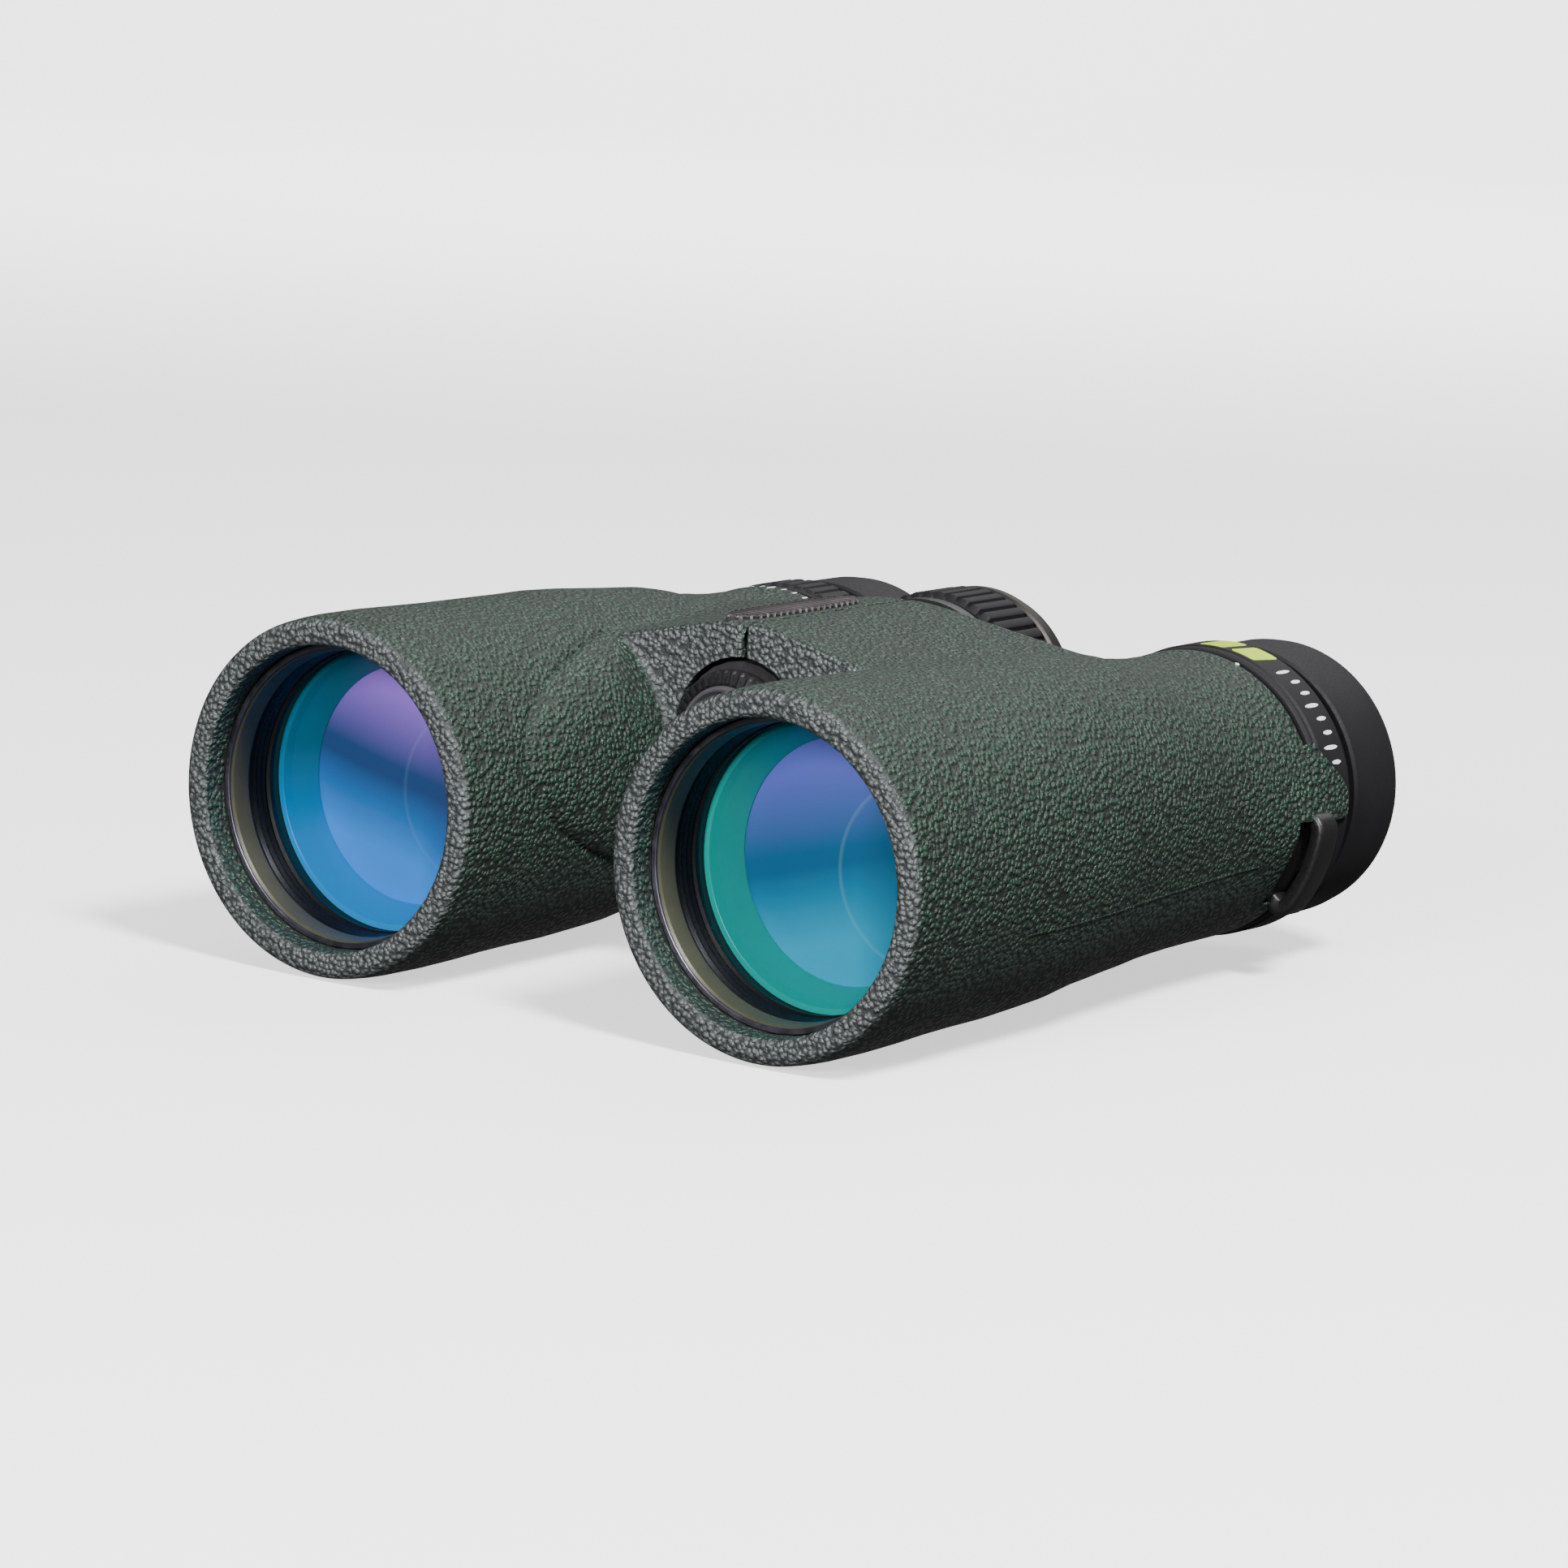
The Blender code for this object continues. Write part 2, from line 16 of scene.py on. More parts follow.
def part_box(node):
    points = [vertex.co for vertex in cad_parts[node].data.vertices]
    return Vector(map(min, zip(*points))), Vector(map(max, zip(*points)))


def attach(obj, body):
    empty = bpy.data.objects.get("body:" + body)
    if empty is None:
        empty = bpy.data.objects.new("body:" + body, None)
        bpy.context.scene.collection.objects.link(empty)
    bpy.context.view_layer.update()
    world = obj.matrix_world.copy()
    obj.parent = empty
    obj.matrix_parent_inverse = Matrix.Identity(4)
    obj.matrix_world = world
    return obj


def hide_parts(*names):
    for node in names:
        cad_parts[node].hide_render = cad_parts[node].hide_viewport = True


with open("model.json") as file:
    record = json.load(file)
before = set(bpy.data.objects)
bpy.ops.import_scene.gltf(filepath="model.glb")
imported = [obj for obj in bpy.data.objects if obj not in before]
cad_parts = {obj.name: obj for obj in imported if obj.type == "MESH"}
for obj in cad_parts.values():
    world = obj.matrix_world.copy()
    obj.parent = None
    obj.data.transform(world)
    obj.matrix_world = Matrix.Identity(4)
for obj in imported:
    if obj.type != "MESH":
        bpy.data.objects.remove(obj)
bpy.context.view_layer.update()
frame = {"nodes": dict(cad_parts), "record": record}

MM = 0.001
JOINTS = {joint["name"]: joint for joint in frame["record"]["behaviour"]["joints"]}
AXIS = {
    1: JOINTS["left_eyecup_twist"]["pos_m"],
    -1: JOINTS["right_eyecup_twist"]["pos_m"],
}
HINGE = JOINTS["hinge_fold"]["pos_m"]
NAME = {1: "left", -1: "right"}
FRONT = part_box("left_armour")[0][1] / MM
HALF = AXIS[1][0] / MM
AXIS_Z = AXIS[1][2] / MM
HINGE_Z = HINGE[2] / MM

# Camera
AZIMUTH, ELEVATION, ROLL = 35.22, 9.67, 2.95
CAMERA_AT = (572.7, -820.3, 196.8)
LENS, SENSOR = 158.2, 36.0

# Armour: the bridge's ends along y, the height of its top, and the flat strip beside the split
BRIDGE_FRONT, BRIDGE_REAR = 47.0, 89.3
BRIDGE_TOP, BRIDGE_FLAT, SPLIT = 26.1, 4.0, 0.2
FOOT_LEAD, REAR_EDGE, REAR_WALL, REAR_FOOT = 1.4, 87.7, 89.2, 89.4
POCKET_R, POCKET_REACH, FOLD_CLEARANCE = 11.3, 18, math.radians(147)
WINDOW = ((5.0, 26.0), (48.5, 88.0), (2.6, 17.4))
RIM_BORE, RIM_INNER_ROUND, RIM_FLAT, RIM_ROUND = 22.05, 0.9, (23.4, 24.0), 1.5
END_FROM, ARMOUR_END, TONGUE = 108.6, 109.9, 7.4
BORE = ((4.3, 24.0), (54.0, 24.0), (90.0, 20.0), (110.0, 20.0))
LUG_MIDDLE, LUG_Y, LUG_ROOM, LUG_FOOT = math.radians(201), 109.4, (103.8, 112.6), (104.2, 112.4)
PARTING_DEGREES, PARTING_ENDS = -18.0, (29.0, 96.0)

# Swellings of the armour: over the strap lug, and on the inner side with a crease round it
LUG_SWELL, LUG_SWELL_Y, LUG_SWELL_LENGTH, LUG_SWELL_ANGLE = 1.5, 107.5, 6.0, 0.20
INNER_SWELL, INNER_SWELL_FADE, CREASE, CREASE_WIDTH = 1.9, 7.0, 0.35, 0.75

# Corners of the armour's outline, (y, radius): the hood all round, then the underside and the top
HOOD_LINE = ((1.2, 26.0), (5, 26.3), (13, 26.3), (20, 26.1))
LOWER_LINE = (*HOOD_LINE, (26, 25.8), (33, 25.6), (41, 25.5), (49, 25.1), (54, 24.8), (58, 24.3), (62, 23.85),
              (67, 23.5), (71, 23.15), (76, 22.8), (80, 22.4), (85, 22.1), (90, 21.85), (98, 21.7),
              (107, 21.6), (120, 21.5))
UPPER_LINE = (*HOOD_LINE, (28, 25.9), (37, 25.8), (45, 25.7), (51, 25.7), (57, 25.4), (63, 24.95), (69, 24.5),
              (75, 24.1), (79, 23.5), (82, 22.8), (85, 22.2), (90, 21.75), (96, 21.3), (103, 21.2),
              (107, 21.45), (120, 21.5))

# Armour material. Scales are in features to the metre, lengths in metres
GRAIN_SCALE, FRONT_GRAIN_SCALE, GRAIN_BEND, GRAIN_DEPTH = 1180.0, 1250.0, 0.0006, 0.00050
PAD_SHAPE = [(0.05, 1.0), (0.33, 0.80), (0.52, 0.38), (0.75, 0.0)]
WRINKLE_SCALE, WRINKLE_SHARE = 2600.0, 0.25
GREEN = [(0.3, (0.0090, 0.0315, 0.0185, 1)), (0.7, (0.0130, 0.0410, 0.0245, 1))]
# Colour of the forward faces: a painted sheen, grey where light glances off the rubber, with painted shade in the
# creases and painted highlights on the pad tops
FRONT_PAINTED_SHEEN = [(0.0, (0.018, 0.023, 0.022, 1)), (0.50, (0.074, 0.081, 0.083, 1)), (1.0, (0.115, 0.124, 0.128, 1))]
# Shade of the pads: painted shade darkens the creases and a painted highlight lightens the pad tops
PAD_SHADE, PAD_ROUGHNESS = [(0.20, 0.22), (0.85, 1.22)], [(0.4, 0.60), (0.95, 0.26)]

# Turned parts: loops of (radius, y, fillet)
RETAINING_RING = [(21.65, 4.75), (21.65, 8.3), (20.75, 8.3, 0.15), (20.9, 7.0, 0.1), (21.0, 5.2, 0.3),
                  (21.35, 4.75, 0.1)]
RING_EDGE = [(21.95, 4.35), (21.95, 4.7), (21.2, 4.7, 0.08), (21.2, 4.35, 0.15)]
CELL_STEP_FROM, CELL_STEP = 13.2, 1.05
ELEMENT_EDGE = [(20.75, 15.0), (20.75, 21.6), (17.5, 21.6), (17.5, 20.1, 0.1), (19.9, 15.0, 0.2)]
COLLAR = [(20.05, 110.35), (21.35, 110.35, 0.2), (21.62, 111.0, 0.15), (21.62, 111.45, 0.05),
          (21.42, 111.6, 0.05), (21.88, 111.95, 0.15), (21.9, 118.4, 0.7), (21.1, 119.25, 0.3),
          (20.05, 119.25)]
DIOPTRE_RING = [(20.05, 110.35), (21.05, 110.35, 0.2), (21.2, 111.0, 0.2), (21.66, 111.6, 0.2),
                (21.68, 118.2, 0.3), (21.2, 118.7, 0.2), (21.0, 119.25, 0.2), (20.05, 119.25)]
EYECUP = [(19.65, 122.05), (20.6, 122.0, 0.15), (20.98, 122.5, 0.3), (20.95, 131.6, 1.5),
          (20.55, 134.4, 1.2), (19.0, 135.75, 0.9), (15.9, 135.75, 0.7), (14.95, 134.7, 0.5),
          (14.95, 133.0), (19.65, 132.95)]
EYECUP_SLIDER = [(15.25, 122.75), (17.45, 122.75, 0.15), (17.45, 132.55, 0.15), (15.25, 132.55, 0.3)]
EYECUP_GUIDE = [(16.95, 108.05), (18.05, 108.05), (18.05, 119.45), (20.2, 119.7, 0.2), (20.2, 121.45, 0.2),
                (19.2, 121.7, 0.1), (19.2, 131.75, 0.2), (17.95, 131.75, 0.2), (17.95, 122.0),
                (16.95, 121.0)]
WHEEL_CORE = [(2.05, 92.5), (15.3, 92.5, 0.5), (15.85, 93.2, 0.4), (15.85, 95.2, 0.4), (15.4, 95.85, 0.2),
              (13.95, 95.9), (13.95, 111.2, 0.3), (12.2, 111.3, 0.3), (11.6, 109.6, 0.4),
              (6.0, 109.3, 0.8), (5.4, 110.2, 0.4), (2.05, 110.4)]
WHEEL_GRIP = [(14.35, 96.25), (15.6, 96.25, 0.15), (16.65, 96.9, 0.5), (16.65, 106.3, 0.4),
              (15.8, 106.85, 0.2), (14.35, 106.85)]
WHEEL_TRIM = [(14.3, 107.25), (16.1, 107.25, 0.2), (16.45, 107.8, 0.3), (16.4, 109.2, 0.4),
              (15.5, 111.4, 0.5), (14.3, 111.45, 0.2)]
CAP_FLANGE = [(7.55, 43.2), (7.7, 43.7, 0.1), (9.3, 44.1, 0.2), (9.68, 44.8, 0.2), (9.68, 45.7, 0.2),
              (9.4, 46.05, 0.1), (7.3, 46.05)]
CAP_FACE = [(0.02, 42.85), (4.0, 42.9), (6.3, 43.05, 0.2), (6.75, 42.4, 0.15), (7.2, 42.33, 0.2),
            (7.5, 43.1, 0.1), (7.5, 46.0), (2.88, 46.05), (2.88, 50.2, 0.4), (0.02, 50.35)]
CAP_TICK = ((7.85, 43.35), (9.35, 43.62), (9.5, 44.6), (7.85, 44.2))
DIOPTRE_RIBS, WHEEL_RIBS, CAP_TEETH = 60, 46, 40

# Printed marks, in degrees above a barrel's outward side
COLLAR_R, PRINT_RISE = 21.89, 0.05
COLLAR_BARS, BAR_Y, BAR_LEAN, BAR_ROUND = ((96.0, 84.6), (81.4, 70.0)), (112.4, 118.1), 0.9, 0.7
COLLAR_TICKS = range(60, 12, -6)

# Inlay: sides, ends, the spacing of its teeth, and its height over the bridge
INLAY_X, INLAY_Y, INLAY_PITCH, INLAY_RISE = (-6.9, -1.1), (47.9, 80.0), 1.55, 0.75

# Studio: name, place, aim, size and power of each lamp, in metres and watts
LAMPS = (
    ("back", (-0.25, 1.05, 1.05), (0, 0, 0.02), (1.3, 0.7), 9),
    ("key", (0.82, -0.36, 1.05), (0, 0, 0.03), (0.26, 0.26), 38),
    ("front", (0.25, -1.27, 0.42), (0, 0, 0.03), (0.50, 0.35), 23),
    ("backdrop", (-0.62, 0.90, 0.95), (-1.6, 2.3, 0.1), (1.6, 0.6), 46),
)
SKY_STRENGTH, FLOOR_GLOW = 0.14, 1.1
FLOOR_HALF, WALL_AT, WALL_TOP, COVE = 9.0, 1.6, 3.0, 0.8


# ---- materials


def new_material(name):
    made = bpy.data.materials.new(name)
    made.use_nodes = True
    return made, made.node_tree, made.node_tree.nodes["Principled BSDF"]


def set_sockets(shader, **values):
    for key, value in values.items():
        shader.inputs[key.replace("_", " ")].default_value = value


def ramp(tree, source, stops):
    node = tree.nodes.new("ShaderNodeValToRGB")
    elements = node.color_ramp.elements
    while len(elements) < len(stops):
        elements.new(0.5)
    for element, (place, colour) in zip(elements, stops):
        element.position = place
        element.color = colour if isinstance(colour, tuple) else (colour, colour, colour, 1)
    tree.links.new(source, node.inputs["Fac"])
    return node.outputs["Color"]


def noise(tree, vector, scale, detail=3.0, roughness=0.5, distortion=0.0):
    node = tree.nodes.new("ShaderNodeTexNoise")
    set_sockets(node, Scale=scale, Detail=detail, Roughness=roughness, Distortion=distortion)
    tree.links.new(vector, node.inputs["Vector"])
    return node.outputs["Fac"]


def maths(tree, operation, a, b):
    node = tree.nodes.new("ShaderNodeMath")
    node.operation = operation
    for socket, value in zip(node.inputs, (a, b)):
        if isinstance(value, (int, float)):
            socket.default_value = value
        else:
            tree.links.new(value, socket)
    return node.outputs["Value"]


def mix(tree, factor, a, b, kind="RGBA"):
    node = tree.nodes.new("ShaderNodeMix")
    node.data_type = kind
    at = {"RGBA": (6, 7, 2), "FLOAT": (2, 3, 0)}[kind]
    for socket, value in ((0, factor), (at[0], a), (at[1], b)):
        if isinstance(value, (int, float, tuple)):
            node.inputs[socket].default_value = value
        else:
            tree.links.new(value, node.inputs[socket])
    return node.outputs[at[2]]


def bump(tree, shader, height, strength, distance):
    node = tree.nodes.new("ShaderNodeBump")
    set_sockets(node, Strength=strength, Distance=distance)
    tree.links.new(height, node.inputs["Height"])
    tree.links.new(node.outputs["Normal"], shader.inputs["Normal"])


def object_coordinates(tree):
    return tree.nodes.new("ShaderNodeTexCoord").outputs["Object"]


def leather_grain(tree, where, scale):
    """Heights of a leather grain: small domed pads, 1 at their tops and 0 in the creases between them."""
    cells = tree.nodes.new("ShaderNodeTexVoronoi")
    cells.feature = "SMOOTH_F1"
    set_sockets(cells, Scale=scale, Smoothness=0.16, Randomness=0.9)
    tree.links.new(where, cells.inputs["Vector"])
    return ramp(tree, cells.outputs["Distance"], PAD_SHAPE)


def armour_material():
    """Dark green rubber with a leather grain, with painted shade darkening the creases, painted highlights on the pad
    tops, and a greyer painted sheen where the mesh says it faces forward.
    """
    made, tree, shader = new_material("armour_rubber_pebbled")
    where = object_coordinates(tree)
    front = tree.nodes.new("ShaderNodeAttribute")
    front.attribute_name = "facing_front"
    facing = front.outputs["Fac"]

    warp = noise(tree, where, 1400.0, 2.5, 0.6).node
    shift = tree.nodes.new("ShaderNodeVectorMath")
    shift.operation = "MULTIPLY_ADD"
    tree.links.new(warp.outputs["Color"], shift.inputs[0])
    shift.inputs[1].default_value = (GRAIN_BEND,) * 3
    tree.links.new(where, shift.inputs[2])
    warped = shift.outputs["Vector"]

    pads = mix(tree, facing, leather_grain(tree, warped, GRAIN_SCALE),
               leather_grain(tree, warped, FRONT_GRAIN_SCALE), "FLOAT")
    wrinkle = noise(tree, where, WRINKLE_SCALE, 3.0, 0.65, 0.4)
    height = maths(tree, "ADD", pads, maths(tree, "MULTIPLY", wrinkle, WRINKLE_SHARE))
    bump(tree, shader, height, 1.0, GRAIN_DEPTH)

    patches = noise(tree, where, 60.0, 3.0, 0.6)
    green = ramp(tree, patches, GREEN)
    # Painted shade in the creases between pads and painted highlights on their tops
    painted_crease_shade = ramp(tree, pads, PAD_SHADE)
    tint = mix(tree, 1.0, green, painted_crease_shade)
    tint.node.blend_type = "MULTIPLY"
    # Painted sheen: a lighter grey on the faces that look forward
    front_painted_sheen = ramp(tree, pads, FRONT_PAINTED_SHEEN)
    tree.links.new(mix(tree, facing, tint, front_painted_sheen), shader.inputs["Base Color"])
    tree.links.new(ramp(tree, pads, PAD_ROUGHNESS), shader.inputs["Roughness"])
    set_sockets(shader, Specular_IOR_Level=0.6)
    return made


def matte_material(name, colour, roughness, grain, depth, spread, metallic=0.0, specular=0.5):
    """Moulded rubber, plastic or anodised metal, with a fine texture and a little unevenness."""
    made, tree, shader = new_material(name)
    where = object_coordinates(tree)
    fine = noise(tree, where, grain, 3.0, 0.65)
    broad = noise(tree, where, 90.0, 3.0, 0.6)
    dark = tuple(c * (1 - spread) for c in colour) + (1,)
    light = tuple(min(1.0, c * (1 + spread)) for c in colour) + (1,)
    tree.links.new(ramp(tree, broad, [(0.3, dark), (0.7, light)]), shader.inputs["Base Color"])
    low, high = max(0.02, roughness - 0.08), min(1.0, roughness + 0.08)
    tree.links.new(ramp(tree, fine, [(0.3, low), (0.7, high)]), shader.inputs["Roughness"])
    bump(tree, shader, fine, 0.5, depth)
    set_sockets(shader, Metallic=metallic, Specular_IOR_Level=specular)
    return made


def turned_metal_material(name, colour, roughness):
    """Metal with fine turning marks round the Y axis."""
    made, tree, shader = new_material(name)
    where = object_coordinates(tree)
    stretch = tree.nodes.new("ShaderNodeMapping")
    stretch.inputs["Scale"].default_value = (0.12, 1.0, 0.12)
    tree.links.new(where, stretch.inputs["Vector"])
    lines = noise(tree, stretch.outputs["Vector"], 5200.0, 2.0)
    broad = noise(tree, where, 110.0, 3.0)
    dark = tuple(c * 0.82 for c in colour) + (1,)
    light = tuple(min(1.0, c * 1.15) for c in colour) + (1,)
    tree.links.new(ramp(tree, broad, [(0.3, dark), (0.7, light)]), shader.inputs["Base Color"])
    tree.links.new(ramp(tree, lines, [(0.3, roughness - 0.06), (0.7, roughness + 0.08)]),
              shader.inputs["Roughness"])
    bump(tree, shader, lines, 0.3, 0.00002)
    set_sockets(shader, Metallic=1.0)
    return made


def clear_glass_material():
    """A coated element: mostly clear, with a glossy teal-tinted face."""
    made, tree, shader = new_material("lens_glass_clear")
    where = object_coordinates(tree)
    dust = noise(tree, where, 700.0, 4.0, 0.7)
    tree.links.new(ramp(tree, dust, [(0.4, 0.015), (0.9, 0.03)]), shader.inputs["Roughness"])
    set_sockets(shader, Alpha=0.035, Specular_IOR_Level=0.4, IOR=1.5)
    shader.inputs["Base Color"].default_value = (0.12, 0.42, 0.45, 1)
    return made


def painted_reflection_material(name, top, middle, bottom, side, centre, radius, tilt, shine, painted_arc_weight=0.0):
    """The coloured face of a coated element, painted with reflections of the lamps. The colour runs from top to bottom
    across the glass, turns to the dark side colour towards +X, and can carry a pale painted highlight arc.
    """
    made, tree, shader = new_material(name)
    where = tree.nodes.new("ShaderNodeSeparateXYZ")
    tree.links.new(object_coordinates(tree), where.inputs["Vector"])
    across = maths(tree, "MULTIPLY", maths(tree, "SUBTRACT", where.outputs["X"],
                   centre[0] * MM), 1 / (radius * MM))
    up = maths(tree, "MULTIPLY", maths(tree, "SUBTRACT", where.outputs["Z"],
               centre[1] * MM), 1 / (radius * MM))
    slanted = maths(tree, "ADD", up, maths(tree, "MULTIPLY", across, tilt))
    height = maths(tree, "MULTIPLY_ADD", slanted, 0.5)
    height.node.inputs[2].default_value = 0.5
    # Painted reflections of the lamps: the top, middle and bottom colours
    stops = [(0.06, bottom), (0.18, bottom), (0.50, middle), (0.56, middle), (0.88, top), (0.98, top)]
    colour = ramp(tree, height, stops)
    # Painted reflection: towards +X the colour turns to the dark side colour
    rightward = ramp(tree, across, [(0.15, 0.0), (0.75, 0.85)])
    colour = mix(tree, rightward, colour, side)
    # Painted highlight: a pale thin arc, as from the bright edge of a ring
    shifted = maths(tree, "SUBTRACT", across, 0.78)
    square = maths(tree, "ADD", maths(tree, "MULTIPLY", shifted, shifted),
                   maths(tree, "MULTIPLY", up, up))
    painted_arc_highlight = ramp(tree, maths(tree, "SQRT", square, 0.0), [(0.76, 0.0), (0.79, painted_arc_weight), (0.81, 0.0)])
    tree.links.new(mix(tree, painted_arc_highlight, colour, (0.35, 0.62, 0.80, 1)), shader.inputs["Base Color"])
    set_sockets(shader, Roughness=0.28, Metallic=shine, Specular_IOR_Level=0.12)
    return made


# ---- meshes


def new_object(name, data):
    made = bpy.data.objects.new(name, data)
    bpy.context.scene.collection.objects.link(made)
    return made


def finish_piece(name, mesh, look, body, replaced=(), sharp=35.0):
    """Makes the object, gives it its material and hangs it on its body."""
    if sharp is None:
        mesh.shade_flat()
    else:
        mesh.shade_smooth()
        mesh.set_sharp_from_angle(angle=math.radians(sharp))
    thing = new_object(name, mesh)
    mesh.materials.clear()
    mesh.materials.append(look)
    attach(thing, body)
    if replaced:
        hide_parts(*replaced)


def mesh_from(name, points, faces):
    """A mesh from points in millimetres, with its faces turned outwards."""
    mesh = bpy.data.meshes.new(name)
    mesh.from_pydata([tuple(p) for p in np.asarray(points) * MM], [], faces)
    work = bmesh.new()
    work.from_mesh(mesh)
    bmesh.ops.remove_doubles(work, verts=work.verts, dist=0.002 * MM)
    bmesh.ops.dissolve_degenerate(work, edges=work.edges, dist=0.001 * MM)
    bmesh.ops.recalc_face_normals(work, faces=work.faces)
    work.to_mesh(mesh)
    work.free()
    return mesh


def grid_faces(rows, columns, close_rows, close_columns):
    faces = []
    for i in range(rows if close_rows else rows - 1):
        j = (i + 1) % rows
        for k in range(columns if close_columns else columns - 1):
            n = (k + 1) % columns
            faces.append((i * columns + k, i * columns + n, j * columns + n, j * columns + k))
    return faces


def capped_faces(rows, columns):
    """The faces of a bar: loops of points joined in rows, and both ends closed."""
    count = rows * columns
    return [*grid_faces(rows, columns, False, True), tuple(range(columns)),
            tuple(range(count - 1, count - columns - 1, -1))]


def filleted(corners, steps=5):
    """A closed outline with rounded corners. A corner is (r, y) or (r, y, radius)."""
    outline = []
    count = len(corners)
    for i, corner in enumerate(corners):
        here = np.array(corner[:2], float)
        radius = corner[2] if len(corner) > 2 else 0.0
        back = np.array(corners[i - 1][:2], float) - here
        ahead = np.array(corners[(i + 1) % count][:2], float) - here
        reach_back, reach_ahead = np.linalg.norm(back), np.linalg.norm(ahead)
        if radius <= 0 or reach_back == 0 or reach_ahead == 0:
            outline.append(tuple(here))
            continue
        back, ahead = back / reach_back, ahead / reach_ahead
        turn = math.acos(max(-1.0, min(1.0, float(back @ ahead))))
        if turn > math.pi - 0.02:
            outline.append(tuple(here))
            continue
        cut = min(radius / math.tan(turn / 2), 0.48 * reach_back, 0.48 * reach_ahead)
        start, end = here + back * cut, here + ahead * cut
        for k in range(steps + 1):
            t = k / steps
            outline.append(tuple((1 - t) ** 2 * start + 2 * t * (1 - t) * here + t * t * end))
    return outline


def place_y(y):
    return FRONT + y


def on_ring(centre, r, a, y):
    """The point at radius r and angle a round the line along Y through centre, (x, z)."""
    return (centre[0] + r * math.cos(a), place_y(y), centre[1] + r * math.sin(a))


def quarter(count):
    """Sine and cosine at even steps over a quarter turn."""
    return [(math.sin(a), math.cos(a)) for a in (math.pi / 2 * k / (count - 1) for k in range(count))]


def turned(name, corners, centre, segments, rib, steps):
    """A body turned round the line along Y through centre, (x, z). rib(angles, r, y) adds to the radius."""
    outline = filleted(corners, steps)
    angles = 2 * math.pi * np.arange(segments) / segments
    points = []
    for r, y in outline:
        swell = rib(angles, r, y) if rib else 0.0
        radius = np.full(segments, r) + swell
        points.extend(zip(centre[0] + radius * np.cos(angles), np.full(segments, place_y(y)),
                          centre[1] + radius * np.sin(angles)))
    return mesh_from(name, points, grid_faces(len(outline), segments, True, True))


def turned_piece(name, corners, centre, look, body, replaced=(), segments=128, rib=None, steps=4):
    finish_piece(name, turned(name, corners, centre, segments, rib, steps), look, body, replaced)


def swept_bar(name, section, path):
    """A closed bar: the loop of (u, v) section points carried along frames (origin, u axis, v axis)."""
    points = []
    for origin, along_u, along_v in path:
        for u, v in section:
            points.append(origin + along_u * u + along_v * v)
    return mesh_from(name, points, capped_faces(len(path), len(section)))


def joined(name, meshes):
    work = bmesh.new()
    for mesh in meshes:
        work.from_mesh(mesh)
    out = bpy.data.meshes.new(name)
    work.to_mesh(out)
    work.free()
    return out


def cut_away(mesh, tools):
    """The mesh with each tool's solid taken away."""
    target = new_object("cut_target", mesh)
    helpers = []
    for tool in tools:
        helper = new_object("cut_tool", tool)
        step = target.modifiers.new("cut", "BOOLEAN")
        step.operation, step.solver, step.object = "DIFFERENCE", "EXACT", helper
        helpers.append(helper)
    graph = bpy.context.evaluated_depsgraph_get()
    made = bpy.data.meshes.new_from_object(target.evaluated_get(graph))
    for thing in [target, *helpers]:
        bpy.data.objects.remove(thing)
    return made


def prism_mesh(name, outline, y0, y1):
    """A prism along Y from a loop of (x, z)."""
    n = len(outline)
    points = [(x, place_y(y), z) for y in (y0, y1) for x, z in outline]
    faces = [(i, (i + 1) % n, n + (i + 1) % n, n + i) for i in range(n)]
    return mesh_from(name, points, [tuple(range(n)), tuple(range(2 * n - 1, n - 1, -1)), *faces])


# ---- armour


def smooth_step(value, low, high):
    t = np.clip((value - low) / (high - low), 0, 1)
    return t * t * (3 - 2 * t)


def soft_max(a, b, width):
    """The larger of two lengths, with a fillet about as wide as width."""
    h = np.clip(0.5 + 0.5 * (a - b) / width, 0, 1)
    return b + (a - b) * h + width * h * (1 - h)


def barrel_radius(theta, y):
    """Radius of the armour without the bridge. theta runs from the inner side upwards over the barrel."""
    low = np.interp(y, *zip(*LOWER_LINE))
    high = np.interp(y, *zip(*UPPER_LINE))
    radius = low + (high - low) * smooth_step(np.sin(theta), -0.3, 0.6)
    outward = np.abs(((theta - LUG_MIDDLE + math.radians(16) + math.pi) % (2 * math.pi)) - math.pi)
    radius = radius + (LUG_SWELL * np.exp(-(outward / LUG_SWELL_ANGLE) ** 2)
                       * np.exp(-((y - LUG_SWELL_Y) / LUG_SWELL_LENGTH) ** 2))
    inward = ((theta + math.pi) % (2 * math.pi)) - math.pi
    swell_from = 14 + 33 * ((inward - math.radians(15)) / math.radians(44)) ** 2
    beyond = np.clip(y - swell_from, 0, None)
    inside = (np.abs(inward) < 1.4) * smooth_step(y, 52, 44)
    crease = CREASE * np.exp(-((y - swell_from) / CREASE_WIDTH) ** 2)
    return radius + inside * (INNER_SWELL * (1 - np.exp(-beyond / INNER_SWELL_FADE)) - crease)


